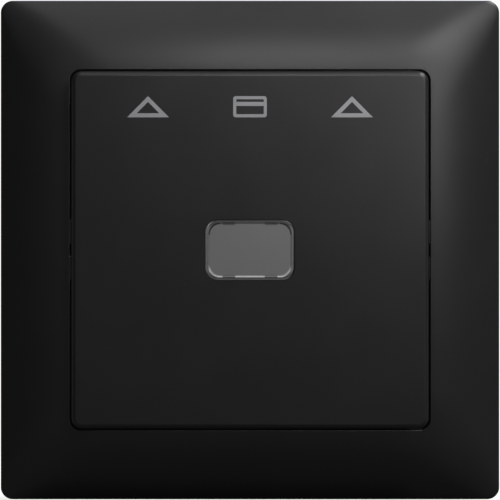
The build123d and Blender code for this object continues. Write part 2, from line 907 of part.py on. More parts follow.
def clamp_springs(side):
    """Two bent leaf springs, each a cage whose slanting leaf presses a wire to its terminal bar."""
    outer = bar_x - clamp_gap - clamp_thickness / 2
    inner = outer - clamp_reach
    top = clamp_low + clamp_cage_height
    springs = []
    for level in (-wire_hole_spacing / 2, wire_hole_spacing / 2):
        y = mechanism_y + level
        path = FilletPolyline(
            (side * outer, y, top),
            (side * inner, y, top),
            (side * inner, y, clamp_low),
            (side * (inner + clamp_foot), y, clamp_low),
            (side * outer, y, top - clamp_tip_drop),
            radius=clamp_bend_radius,
        )
        start = Plane(origin=path @ 0, x_dir=(0, 1, 0), z_dir=path % 0)
        springs.append(sweep(start * Rectangle(clamp_width, clamp_thickness), path=path))
    return springs


def wire_guide(side):
    """Insert in the base's back wall with two wire holes and a slot for the release button."""
    low = base_back - wire_guide_proud
    x = side * wire_x
    body = slab(wire_guide_width, wire_guide_height, low, wire_guide_top, x=x, y=mechanism_y)
    body = body + slab(
        wire_guide_width + 2 * wire_guide_lip,
        wire_guide_height + 2 * wire_guide_lip,
        low,
        base_back - wire_guide_gap / 2,
        x=x,
        y=mechanism_y,
    )
    for level in (-wire_hole_spacing / 2, wire_hole_spacing / 2):
        body = body - rod(
            wire_hole_radius, low - overrun, wire_guide_top + overrun, x, mechanism_y + level
        )
    body = body - slab(
        release_width + 2 * release_gap,
        release_height + 2 * release_gap,
        low - overrun,
        wire_guide_top + overrun,
        x=side * release_x,
        y=mechanism_y,
    )
    return body


def release_button(side):
    """Button at the back that opens both clamp springs of one terminal."""
    low = base_back - wire_guide_proud - release_travel - release_stand
    stem = slab(
        release_width, release_height, low, release_bar_low, x=side * release_x, y=mechanism_y
    )
    bar = slab(
        release_bar_width,
        release_bar_height,
        release_bar_low,
        release_bar_low + release_bar_thickness,
        x=side * (release_x - (release_width - release_bar_width) / 2),
        y=mechanism_y,
    )
    return stem + bar


def lamp_contact(side):
    """Leaf that leads from a fixed contact's strip up to the tip of one lamp pin."""
    inner = lamp_pin_spacing / 2 - lamp_pin_radius - lamp_contact_overlap / 2
    near = mechanism_y + strip_width / 2
    foot = slab(
        lamp_contact_width,
        strip_width,
        strip_top,
        strip_top + lamp_contact_thickness,
        x=side * (lamp_contact_x + lamp_contact_width / 2),
        y=mechanism_y,
    )
    riser = slab(
        lamp_contact_width,
        lamp_contact_thickness,
        strip_top,
        lamp_arm_top,
        x=side * (lamp_contact_x + lamp_contact_width / 2),
        y=near + lamp_contact_thickness / 2,
    )
    far = lamp_contact_width / 2
    arm = slab(
        lamp_contact_width,
        far - near,
        lamp_arm_top - lamp_contact_thickness,
        lamp_arm_top,
        x=side * (lamp_contact_x + lamp_contact_width / 2),
        y=(far + near) / 2,
    )
    outer = lamp_contact_x + lamp_contact_width
    finger = slab(
        outer - inner,
        lamp_contact_width,
        lamp_arm_top - lamp_contact_thickness,
        lamp_arm_top,
        x=side * (outer + inner) / 2,
    )
    return foot + riser + arm + finger


def lamp_board():
    """Small circuit board of the lamp unit."""
    low = cover_front + lamp_board_lift
    board = slab(lamp_board_width, lamp_board_height, low, low + lamp_board_thickness)
    for side in (-1, 1):
        board = board - rod(
            lamp_pin_radius + lamp_pin_clearance,
            low - overrun,
            low + lamp_board_thickness + overrun,
            x=side * lamp_pin_spacing / 2,
        )
    return board


def lamp_pins():
    """Two contact pins that plug the lamp unit into the switch cover."""
    low = cover_front - lamp_pin_depth
    high = cover_front + lamp_board_lift + lamp_board_thickness + lamp_pin_radius
    return [rod(lamp_pin_radius, low, high, side * lamp_pin_spacing / 2) for side in (-1, 1)]


def lamp_led():
    """Light emitting diode: a square body with a clear dome."""
    low = cover_front + lamp_board_lift + lamp_board_thickness
    body = slab(lamp_body_side, lamp_body_side, low, low + lamp_body_height)
    dome = Pos(0, 0, low + lamp_body_height) * Sphere(lamp_dome_radius)
    return body + (dome & slab(lamp_body_side, lamp_body_side, low, low + 2 * lamp_body_side))


def lamp_resistor():
    """Series resistor that lies on the lamp board."""
    z = cover_front + lamp_board_lift + lamp_board_thickness + resistor_radius
    body = bar_along_x(resistor_radius, resistor_length / 2, resistor_y, z)
    return fillet(body.edges(), resistor_radius / 3)


def claw_screw(end):
    """Screw through the ring that draws a claw's nut forward."""
    y = end * claw_screw_distance
    head = slotted_head(
        claw_head_radius, ring_thickness, claw_head_height, claw_slot_width, claw_slot_depth, 0, y
    )
    shank = rod(claw_screw_radius, -claw_screw_length, ring_thickness, y=y)
    return head + shank


def claw_nut(end):
    """Square nut on a claw screw."""
    y = end * claw_screw_distance
    top = -claw_nut_depth - claw_gap / 2
    nut = slab(claw_nut_side, claw_nut_side, top - claw_nut_thickness, top, y=y)
    return nut - rod(
        claw_screw_radius + claw_nut_clearance, top - claw_nut_thickness - overrun, top + overrun, y=y
    )


def claw(end):
    """Forked steel claw with teeth that bite into the box when its screw is tightened."""
    low = -claw_nut_depth + claw_gap / 2
    high = low + claw_thickness
    tooth_top = high + claw_tooth_rise
    tip = claw_tab_end + claw_tooth_lean
    bend = claw_thickness * cos(radians(claw_ramp_angle))
    outline = [
        (end * ramp_line(low), low),
        (end * claw_tab_end, low),
        (end * tip, tooth_top),
        (end * (tip - claw_thickness), tooth_top),
        (end * (claw_tab_end - bend), high),
        (end * ramp_line(high), high),
    ]
    body = side_profile(outline, claw_width)
    slide = claw_lift * tan(radians(claw_ramp_angle))
    fork_outer = claw_screw_distance + claw_fork_width / 2
    fork_inner = claw_screw_distance - claw_fork_width - slide
    fork = slab(
        claw_fork_width,
        fork_outer - fork_inner,
        low - overrun,
        high + overrun / 2,
        claw_fork_width / 3,
        y=end * (fork_outer + fork_inner) / 2,
    )
    body = body - fork
    pitch = claw_width / claw_tooth_count
    for n in range(claw_tooth_count + 1):
        x = -claw_width / 2 + n * pitch
        notch = [
            (x - pitch / 4, tooth_top + overrun), (x + pitch / 4, tooth_top + overrun),
            (x, tooth_top - claw_thickness),
        ]
        face = make_face(Polyline(*notch, close=True))
        body = body - extrude(
            Plane.XZ * face, amount=claw_tab_end + 2 * claw_width, both=True
        )
    return body


def parts():
    """Every node of the object by name, each as a list of solids in the front view."""
    return {
        "cover_frame": [cover_frame()],
        "centre_plate": [centre_plate()],
        "lens": [lens()],
        "card_guide": [card_guide()],
        "light_window": [light_window()],
        "card_lever": [card_lever()],
        "lever_pin": [lever_pin()],
        "support_ring": [support_ring()],
        "switch_base": [switch_base()],
        "switch_cover": [switch_cover()],
        "cover_screws": cover_screws(),
        "plunger": [plunger()],
        "plunger_spring": [plunger_spring()],
        "contact_bridge": [contact_bridge()],
        "bridge_tips": contact_tips(moving_tip_low, moving_tip_low + tip_height),
        "fixed_tips": contact_tips(strip_top, fixed_tip_top),
        "fixed_contact_left": [fixed_contact(-1)],
        "fixed_contact_right": [fixed_contact(1)],
        "clamp_springs_left": clamp_springs(-1),
        "clamp_springs_right": clamp_springs(1),
        "wire_guide_left": [wire_guide(-1)],
        "wire_guide_right": [wire_guide(1)],
        "release_button_left": [release_button(-1)],
        "release_button_right": [release_button(1)],
        "lamp_contact_left": [lamp_contact(-1)],
        "lamp_contact_right": [lamp_contact(1)],
        "lamp_board": [lamp_board()],
        "lamp_pins": lamp_pins(),
        "lamp_led": [lamp_led()],
        "lamp_resistor": [lamp_resistor()],
        "claw_screw_upper": [claw_screw(1)],
        "claw_screw_lower": [claw_screw(-1)],
        "claw_nut_upper": [claw_nut(1)],
        "claw_nut_lower": [claw_nut(-1)],
        "claw_upper": [claw(1)],
        "claw_lower": [claw(-1)],
    }


os.makedirs("parts", exist_ok=True)
for name, shapes in parts().items():
    solids = [solid for shape in shapes for solid in shape.solids()]
    upright = Rot(90, 0, 0) * Compound(solids)
    export_step(upright, f"parts/{name}.step")
print("plunger travel", round(plunger_travel, 4), "for", lever_throw, "degrees of the lever")
print("claw slide", round(claw_slide_length, 4), "screw turn", round(360 * claw_lift / claw_pitch, 2))
print("heights: rim", round(rim_height, 3), "pocket", round(pocket_back, 3), round(pocket_front, 3),
      "plate", round(plate_front, 3), "lever pin", round(lever_pin_y, 3), round(lever_pin_z, 3))
print("wire holes at x", round(wire_x, 3), "y", mechanism_y - wire_hole_spacing / 2,
      mechanism_y + wire_hole_spacing / 2, "bore from", round(base_back - wire_guide_proud, 3),
      "to", round(wire_guide_top, 3))
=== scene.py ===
"""Looks of a hotel key card switch: a square black frame, a raised plate with a card slot and a lens.

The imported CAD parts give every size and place. Each sub-assembly is a class that dresses its own parts,
and main() builds them in order. Points are written as seen from the front, in millimetres: right, up and
out of the wall. The function at() turns them into the frame's metres, where the front faces -Y.
"""

import logging
import math
from dataclasses import dataclass
from enum import Enum, StrEnum, auto
from functools import cache

import bmesh
import bpy
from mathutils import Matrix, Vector


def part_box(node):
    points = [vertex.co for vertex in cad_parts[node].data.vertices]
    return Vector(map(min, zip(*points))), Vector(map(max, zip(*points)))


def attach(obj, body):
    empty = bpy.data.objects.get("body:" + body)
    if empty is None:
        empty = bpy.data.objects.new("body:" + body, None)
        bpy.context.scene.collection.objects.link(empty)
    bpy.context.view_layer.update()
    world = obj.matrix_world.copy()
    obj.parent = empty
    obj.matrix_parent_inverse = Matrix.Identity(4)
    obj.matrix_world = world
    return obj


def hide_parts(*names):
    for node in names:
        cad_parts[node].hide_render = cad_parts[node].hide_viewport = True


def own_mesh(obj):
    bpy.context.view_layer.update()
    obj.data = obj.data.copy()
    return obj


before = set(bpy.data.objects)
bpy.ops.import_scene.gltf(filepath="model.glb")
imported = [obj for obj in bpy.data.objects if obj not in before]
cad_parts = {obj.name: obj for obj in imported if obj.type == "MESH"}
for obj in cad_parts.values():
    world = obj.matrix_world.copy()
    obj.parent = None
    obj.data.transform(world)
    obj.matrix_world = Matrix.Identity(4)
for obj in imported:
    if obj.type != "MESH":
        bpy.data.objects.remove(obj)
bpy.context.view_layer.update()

MM = 0.001
LOG = logging.getLogger("card_switch")
WELD_DISTANCE = 0.000002
FLAT_ANGLE = math.radians(0.4)

Tree = bpy.types.NodeTree
Node = bpy.types.Node
Piece = bpy.types.Object
Shape = bmesh.types.BMesh
Material = bpy.types.Material
Colour = tuple[float, float, float]
Pair = tuple[float, float]
Loop = list[tuple[float, float, float]]


class Body(StrEnum):
    """CAD bodies that pieces ride on."""

    INSERT = auto()
    CARD_LEVER = auto()
    PLUNGER = auto()
    RELEASE_BUTTON_LEFT = auto()
    RELEASE_BUTTON_RIGHT = auto()
    CLAW_SCREW_UPPER = auto()
    CLAW_SCREW_LOWER = auto()
    CLAW_NUT_UPPER = auto()
    CLAW_NUT_LOWER = auto()
    CLAW_UPPER = auto()
    CLAW_LOWER = auto()


class Slot(StrEnum):
    """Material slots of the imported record."""

    BLACK_COVER = auto()
    SMOKED_LENS = auto()
    INNER_BLACK = auto()
    CLEAR_WINDOW = auto()
    LEVER_GREY = auto()
    STEEL_PIN = auto()
    ZINC_RING = auto()
    BASE_MOULDING = auto()
    COVER_MOULDING = auto()
    ZINC_SCREW = auto()
    PLUNGER_WHITE = auto()
    SPRING_STEEL = auto()
    CONTACT_BRASS = auto()
    SILVER_TIP = auto()
    GUIDE_GREY = auto()
    RELEASE_ORANGE = auto()
    CIRCUIT_BOARD = auto()
    LED_CLEAR = auto()
    RESISTOR_BODY = auto()
    CLAW_STEEL = auto()


class Reach(Enum):
    """Groups of pieces that lamps are limited to, and the pieces that some lamps shine past."""

    ALL = "everything"
    FRONT = "front_pieces"
    FLOOR = "floor_piece"
    PAST_PLATE = "plate_shadow"


class Grain(Enum):
    """Which way the fine marks of a finish run, as a stretch along X, Y and Z."""

    EVEN = (1.0, 1.0, 1.0)
    ALONG_X = (0.06, 1.0, 1.0)
    ALONG_Z = (1.0, 1.0, 0.06)


def at(right: float, up: float, out: float) -> Vector:
    """Turn a point in front view millimetres into the frame's metres."""
    return Vector((right, -out, up)) * MM


@dataclass(frozen=True)
class Extent:
    """Box of a CAD node in front view millimetres."""

    left: float
    right: float
    bottom: float
    top: float
    back: float
    front: float

    @classmethod
    def of(cls, node: str) -> "Extent":
        """Measure the CAD node of a name."""
        low, high = (Vector(corner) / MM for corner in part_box(node))
        return cls(low.x, high.x, low.z, high.z, -high.y, -low.y)

    @property
    def middle_y(self) -> float:
        """Middle between bottom and top."""
        return (self.bottom + self.top) / 2

    @property
    def depth(self) -> float:
        """Distance from back to front."""
        return self.front - self.back


@dataclass(frozen=True)
class Output:
    """Output of a node. Plain arithmetic on it adds math nodes to its tree."""

    socket: bpy.types.NodeSocket

    def math(self, operation: str, other: "Output | float" = 0.0, swapped: bool = False) -> "Output":
        """Add a math node with another number, which comes second unless swapped."""
        pair = {0: other, 1: self} if swapped else {0: self, 1: other}
        return read(self.socket.id_data, "ShaderNodeMath", 0, pair, operation=operation)

    def __add__(self, other: "Output | float") -> "Output":
        """Add a number."""
        return self.math("ADD", other)

    def __sub__(self, other: "Output | float") -> "Output":
        """Take a number away."""
        return self.math("SUBTRACT", other)

    def __rsub__(self, other: float) -> "Output":
        """Take this away from a number."""
        return self.math("SUBTRACT", other, swapped=True)

    def __mul__(self, other: "Output | float") -> "Output":
        """Multiply by a number."""
        return self.math("MULTIPLY", other)

    def __truediv__(self, other: float) -> "Output":
        """Divide by a number."""
        return self.math("DIVIDE", other)

    def __abs__(self) -> "Output":
        """Drop the sign."""
        return self.math("ABSOLUTE")

    def most(self, other: "Output | float") -> "Output":
        """Take the larger of two."""
        return self.math("MAXIMUM", other)

    def least(self, other: "Output") -> "Output":
        """Take the smaller of two."""
        return self.math("MINIMUM", other)

    def ramp(self, low: float, high: float, to_low: float = 0.0, to_high: float = 1.0) -> "Output":
        """Map the span from low to high smoothly to another one."""
        ends = {0: self, 1: low, 2: high, 3: to_low, 4: to_high}
        return read(self.socket.id_data, "ShaderNodeMapRange", 0, ends, interpolation_type="SMOOTHSTEP")

    def blend(self, first: "Output | Colour", second: "Output | Colour") -> "Output":
        """Mix two colours, with this as the second one's share."""
        return read(self.socket.id_data, "ShaderNodeMix", 2, {0: self, 6: first, 7: second}, data_type="RGBA")

    def noise(self, scale: "Output | float", detail: float, roughness: float = 0.5) -> "Output":
        """Read fractal noise, with this as its coordinates."""
        values = {"Vector": self, "Scale": scale, "Detail": detail, "Roughness": roughness}
        return read(self.socket.id_data, "ShaderNodeTexNoise", "Fac", values)


def fill(node: Node, inputs: dict) -> None:
    """Set or link a node's inputs.

    Args:
        node: The node.
        inputs: Plain value, or output to link from, by input name or index.
    """
    for key, value in inputs.items():
        socket = node.inputs[key]
        if isinstance(value, Output):
            node.id_data.links.new(value.socket, socket)
        else:
            socket.default_value = (*value, 1.0) if socket.type == "RGBA" else value


def add_node(tree: Tree, kind: str, inputs: dict | None = None, **settings: object) -> Node:
    """Add a node to a tree.

    Args:
        tree: Node tree that gets the node.
        kind: Blender's name of the node type.
        inputs: Plain value or output by input name or index.
        **settings: Attribute values by name.

    Returns:
        The new node.
    """
    made = tree.nodes.new(kind)
    for key, value in settings.items():
        setattr(made, key, value)
    fill(made, inputs or {})
    return made


def read(tree: Tree, kind: str, output: str | int, inputs: dict | None = None, **settings: object) -> Output:
    """Add a node, as add_node does, and give the output of a name or index."""
    return Output(add_node(tree, kind, inputs, **settings).outputs[output])


def new_group(
    name: str, kind: str, inputs: dict[str, str], outputs: dict[str, str]
) -> tuple[Tree, dict[str, Output], Node]:
    """Start a node group with named sockets.

    Args:
        name: Name of the group.
        kind: Tree type, for shaders or for geometry.
        inputs: Socket type by input name.
        outputs: Socket type by output name.

    Returns:
        The tree, what it is given by input name, and its output node.
    """
    tree = bpy.data.node_groups.new(name, kind)
    for way, sockets in (("INPUT", inputs), ("OUTPUT", outputs)):
        for label, content in sockets.items():
            tree.interface.new_socket(label, in_out=way, socket_type=f"NodeSocket{content}")
    entry = tree.nodes.new("NodeGroupInput")
    return tree, {label: Output(entry.outputs[label]) for label in inputs}, tree.nodes.new("NodeGroupOutput")


@cache
def surface_grain() -> Tree:
    """Build the fine tool grain: two sizes of noise for bumps, and a slow one for mottling.

    Returns:
        The node group.
    """
    inputs = {"Vector": "Vector", "Scale": "Float"}
    outputs = {"Height": "Float", "Mottle": "Float"}
    tree, given, result = new_group("surface_grain", "ShaderNodeTree", inputs, outputs)
    place, scale = given.values()
    coarse_scale, coarse_height, slow_scale = 0.33, 0.45, 0.02
    cells = {"Vector": place, "Scale": scale * coarse_scale, "Smoothness": 0.8}
    coarse = read(tree, "ShaderNodeTexVoronoi", "Distance", cells, feature="SMOOTH_F1")
    fine = place.noise(scale, detail=3.0, roughness=0.6)
    slow = place.noise(scale * slow_scale, detail=4.0, roughness=0.55)
    fill(result, {"Height": coarse * coarse_height + fine, "Mottle": slow.ramp(low=0.35, high=0.65)})
    return tree


@cache
def edge_wear() -> Tree:
    """Build the edge wear: how far a point stands out on a convex edge, broken up by noise.

    Returns:
        The node group.
    """
    inputs = {"Vector": "Vector", "Amount": "Float"}
    tree, given, result = new_group("edge_wear", "ShaderNodeTree", inputs, {"Mask": "Float"})
    convex = read(tree, "ShaderNodeNewGeometry", "Pointiness").ramp(low=0.52, high=0.62)
    patchy = given["Vector"].noise(scale=900.0, detail=3.0).ramp(low=0.35, high=0.7)
    fill(result, {"Mask": convex * patchy * given["Amount"]})
    return tree


@cache
def touch_marks() -> Tree:
    """Build the sparse specks and faint wipe marks of a surface that people touch.

    Returns:
        The node group.
    """
    outputs = {"Specks": "Float", "Wipes": "Float"}
    tree, given, result = new_group("touch_marks", "ShaderNodeTree", {"Vector": "Vector"}, outputs)
    cells = read(tree, "ShaderNodeTexVoronoi", "Distance", given | {"Scale": 210.0})
    stretched = read(tree, "ShaderNodeMapping", 0, given | {"Scale": (60.0, 60.0, 14.0)})
    wipes = stretched.noise(scale=1.0, detail=3.0).ramp(low=0.4, high=0.7)
    fill(result, {"Specks": cells.ramp(low=0.035, high=0.015), "Wipes": wipes})
    return tree


class Look:
    """Material under construction: its shader, object coordinates, grain, colour and roughness."""

    def __init__(
        self,
        name: str,
        colours: tuple[Colour, Colour],
        roughness: Pair,
        grain_scale: float,
        grain_way: Grain = Grain.EVEN,
    ) -> None:
        """Start a material that is mottled.

        Args:
            name: Name of the material.
            colours: Colours between which it changes slowly.
            roughness: Roughness where it has each colour.
            grain_scale: Scale of its grain.
            grain_way: Which way the grain runs.
        """
        self.material = bpy.data.materials.new(name)
        self.material.use_nodes = True
        self.tree = self.material.node_tree
        self.shader = self.tree.nodes["Principled BSDF"]
        self.place = read(self.tree, "ShaderNodeTexCoord", "Object")
        way = read(self.tree, "ShaderNodeMapping", 0, {"Vector": self.place, "Scale": grain_way.value})
        grain = self.effect(surface_grain(), {"Vector": way, "Scale": grain_scale})
        self.height = grain["Height"]
        self.colour = grain["Mottle"].blend(*colours)
        self.rough = grain["Mottle"].ramp(0.0, 1.0, *roughness)

    def effect(self, group: Tree, inputs: dict) -> dict[str, Output]:
        """Place an effect's node group on the surface, and give its outputs by name."""
        placed = add_node(self.tree, "ShaderNodeGroup", {"Vector": self.place} | inputs, node_tree=group)
        return {socket.name: Output(socket) for socket in placed.outputs}

    def millimetres(self) -> tuple[Output, Output]:
        """Give the distances to the right of the piece's middle and above it."""
        split = add_node(self.tree, "ShaderNodeSeparateXYZ", {0: self.place})
        return Output(split.outputs[0]) / MM, Output(split.outputs[2]) / MM

    def paint(self, mask: Output, colour: Output | Colour) -> None:
        """Lay a colour over the surface where a mask is one."""
        self.colour = mask.blend(self.colour, colour)

    def done(self, depth: float, strength: float, values: dict[str, float]) -> Material:
        """Connect the surface to the shader.

        Args:
            depth: Height of the grain's bumps in metres.
            strength: How strongly they show.
            values: Plain values of the shader by input name.

        Returns:
            The material.
        """
        bump = {"Height": self.height, "Strength": strength, "Distance": depth}
        normal = read(self.tree, "ShaderNodeBump", "Normal", bump)
        fill(self.shader, {"Base Color": self.colour, "Roughness": self.rough, "Normal": normal} | values)
        return self.material


@dataclass(frozen=True)
class Finish:
    """Plastic or metal surface with grain, mottling, worn edges and marks of touch."""

    colour: Colour
    roughness: float = 0.45
    metallic: float = 0.0
    grain_scale: float = 9000.0
    grain_depth: float = 0.000004
    grain_way: Grain = Grain.EVEN
    mottle: float = 0.08
    wear: float = 0.15
    wear_colour: Colour = (0.6, 0.6, 0.6)
    coat: float = 0.0
    dust: float = 0.0
    dust_colour: Colour = (0.22, 0.21, 0.2)
    wipe: float = 0.06
    specular: float = 0.5
    unevenness: float = 0.05
    # Strength of a faint white emission: painted light, a glow that lifts dark surfaces.
    painted_glow: float = 0.0

    def material(self, name: str) -> Material:
        """Build the material.

        Args:
            name: Name of its slot.

        Returns:
            A node material of that name.
        """
        shares = (1 - self.mottle, 1 + self.mottle)
        colours = tuple(tuple(channel * share for channel in self.colour) for share in shares)
        roughness = (self.roughness - self.unevenness, self.roughness + self.unevenness)
        look = Look(name, colours, roughness, self.grain_scale, self.grain_way)
        look.paint(look.effect(edge_wear(), {"Amount": self.wear})["Mask"], self.wear_colour)
        self.dress(look)
        values = {
            "Coat Weight": self.coat,
            "Specular IOR Level": self.specular,
            # The painted glow goes out as a faint white emission.
            "Emission Strength": self.painted_glow,
            "Metallic": self.metallic,
        }
        return look.done(self.grain_depth, 1.0, values)

    def dress(self, look: Look) -> None:
        """Add the marks of touch, and what a kind of finish draws on its surface.

        Args:
            look: The material under construction.
        """
        if self.dust:
            marks = look.effect(touch_marks(), {})
            look.paint(marks["Specks"] * self.dust, self.dust_colour)
            look.rough = look.rough + marks["Wipes"] * (self.wipe * self.dust)


@dataclass(frozen=True)
class ClearFinish:
    """See-through plastic with a faint tint and fine flow lines."""

    colour: Colour
    roughness: float = 0.08
    transmission: float = 0.9
    unevenness: float = 0.06
    tint: float = 0.93
    grain_scale: float = 2500.0
    grain_depth: float = 0.000002
    grain_strength: float = 0.4
    refraction: float = 1.49

    def material(self, name: str) -> Material:
        """Build the material.

        Args:
            name: Name of its slot.

        Returns:
            A node material of that name.
        """
        darker = tuple(channel * self.tint for channel in self.colour)
        roughness = (self.roughness, self.roughness + self.unevenness)
        look = Look(name, (darker, self.colour), roughness, self.grain_scale)
        values = {"Metallic": 0.0, "IOR": self.refraction, "Transmission Weight": self.transmission}
        return look.done(self.grain_depth, self.grain_strength, values)


def diagonal(first: Output, second: Output) -> Output:
    """Length of the diagonal of two distances."""
    return (first * first + second * second).math("SQRT")


@dataclass(frozen=True)
class Outline:
    """Rounded rectangle about the middle of a surface, in millimetres."""

    half_width: float
    half_height: float
    corner: float

    def measure(self, across: Output, up: Output) -> tuple[Output, Output, Output]:
        """Measure a point against the outline.

        Args:
            across: Distance to the right of the middle.
            up: Distance above the middle.

        Returns:
            How far the point lies past the corner's centre sideways and in height, and its distance
            outside the outline.
        """
        wide = (abs(across) - (self.half_width - self.corner)).most(0.0)
        tall = (abs(up) - (self.half_height - self.corner)).most(0.0)
        return wide, tall, diagonal(wide, tall) - self.corner


@dataclass(frozen=True)
class LensFinish(Finish):
    """Smoked lens with its snap hooks seen through it, and painted shade and light about its edges."""

    plug: Outline = Outline(6.6, 4.27, 1.85)
    rim: Outline = Outline(7.2, 4.87, 2.05)
    # Painted shade of the rim round the plug, darker at its top and bottom than at its sides.
    side_rim_shade: Colour = (0.075, 0.075, 0.076)
    level_rim_shade: Colour = (0.034, 0.034, 0.035)
    level_rim_height: float = 0.9
    rim_fade: Pair = (0.0, 0.12)
    # Painted shade along the plug's contour: at its upper corners, and fainter along its sides.
    line_fade: Pair = (0.17, 0.05)
    line_upper: Pair = (0.5, 2.6)
    line_corner: Pair = (0.0, 0.1)
    line_side: Pair = (1.6, 1.8)
    side_share: float = 0.2
    hook_offset: float = 3.4
    hook_edges: Pair = (1.09, 0.95)
    hook_band: Pair = (0.31, 0.22)
    hook_upper: tuple[float, float, float, float] = (0.0, 0.5, 0.25, 1.0)
    hook_share: float = 0.6
    ticks: tuple[Pair, Pair] = ((0.0, 4.45), (6.95, 2.0))
    tick_fade: tuple[float, float, float, float] = (0.17, 0.07, 0.0, 0.6)
    shade: Colour = (0.012, 0.012, 0.0125)
    # Painted light along the plug's lower edge, and painted shadow and light on the lens's own edge.
    glow_fade: Pair = (0.22, 0.1)
    glow_lower: Pair = (-2.4, -3.4)
    glow: Colour = (0.22, 0.22, 0.225)
    edge_fade: Pair = (-0.3, -0.12)
    edge_turn: Pair = (0.2, -0.2)
    shaded_edge: Colour = (0.003, 0.003, 0.003)
    lit_edge: Colour = (0.19, 0.19, 0.192)

    def dress(self, look: Look) -> None:
        """Draw the hooks, painted shade on the plug's rim and line, and painted light and shadow on the
        edges.

        Args:
            look: The material under construction.
        """
        super().dress(look)
        across, up = look.millimetres()
        wide, tall, distance = self.plug.measure(across, up)
        # Painted shade: the rim round the plug is darkened, most at its top and bottom, against the light it
        # catches.
        level = abs(up).ramp(self.plug.half_height - self.level_rim_height, self.plug.half_height)
        look.paint(distance.ramp(*self.rim_fade), level.blend(self.side_rim_shade, self.level_rim_shade))
        # Painted shade: a dark line on the plug's contour at its upper corners, fainter along its sides.
        corners = up.ramp(*self.line_upper) * wide.least(tall).ramp(*self.line_corner)
        sides = (wide - tall).ramp(*self.line_side) * self.side_share
        line = abs(distance).ramp(*self.line_fade) * corners.most(sides)
        hook = abs(abs(across) - self.hook_offset).ramp(*self.hook_edges)
        band = abs(abs(up) - self.plug.half_height).ramp(*self.hook_band)
        hooks = hook * band * up.ramp(*self.hook_upper) * self.hook_share
        level_tick, side_tick = (
            diagonal(abs(across) - aside, abs(up) - high).ramp(*self.tick_fade) for aside, high in self.ticks
        )
        look.paint(line.most(hooks).most(level_tick.most(side_tick)), self.shade)
        # Painted light: a glow along the plug's lower edge, between the hooks.
        glow = abs(distance).ramp(*self.glow_fade) * up.ramp(*self.glow_lower) * (1.0 - hook)
        look.paint(glow, self.glow)
        # Painted shadow along the lens's top and right edge, and painted light along its bottom and left
        # edge.
        edge = self.rim.measure(across, up)[2].ramp(*self.edge_fade)
        turn = across / self.rim.half_width + up / self.rim.half_height
        look.paint(edge, turn.ramp(*self.edge_turn).blend(self.shaded_edge, self.lit_edge))


@dataclass(frozen=True)
class BoardFinish(Finish):
    """Coated circuit board with bare pads round the pins and thin tracks to the lamp."""

    pin_offset: float = 4.5
    pad_edge: Pair = (1.15, 1.05)
    track_edge: Pair = (0.36, 0.28)
    track: Colour = (0.08, 0.32, 0.14)
    tin: Colour = (0.66, 0.66, 0.64)

    def dress(self, look: Look) -> None:
        """Add tinned pads and lighter tracks.

        Args:
            look: The material under construction.
        """
        super().dress(look)
        across, up = look.millimetres()
        look.paint(abs(up).ramp(*self.track_edge), self.track)
        look.paint(diagonal(abs(across) - self.pin_offset, up).ramp(*self.pad_edge), self.tin)


@dataclass(frozen=True)
class BandedFinish(Finish):
    """Lacquered resistor with tinned ends and four painted bands."""

    end_edge: Pair = (1.18, 1.22)
    band_edge: Pair = (0.15, 0.11)
    band_places: tuple[float, ...] = (-0.72, -0.3, 0.12, 0.72)
    band_colours: tuple[Colour, ...] = (
        (0.3, 0.1, 0.04),
        (0.02, 0.02, 0.02),
        (0.75, 0.3, 0.04),
        (0.6, 0.45, 0.12),
    )
    tin: Colour = (0.7, 0.7, 0.68)

    def dress(self, look: Look) -> None:
        """Paint the bands and the ends across the length.

        Args:
            look: The material under construction.
        """
        super().dress(look)
        across = look.millimetres()[0]
        for band, colour in zip(self.band_places, self.band_colours):
            look.paint(abs(across - band).ramp(*self.band_edge), colour)
        look.paint(abs(across).ramp(*self.end_edge), self.tin)


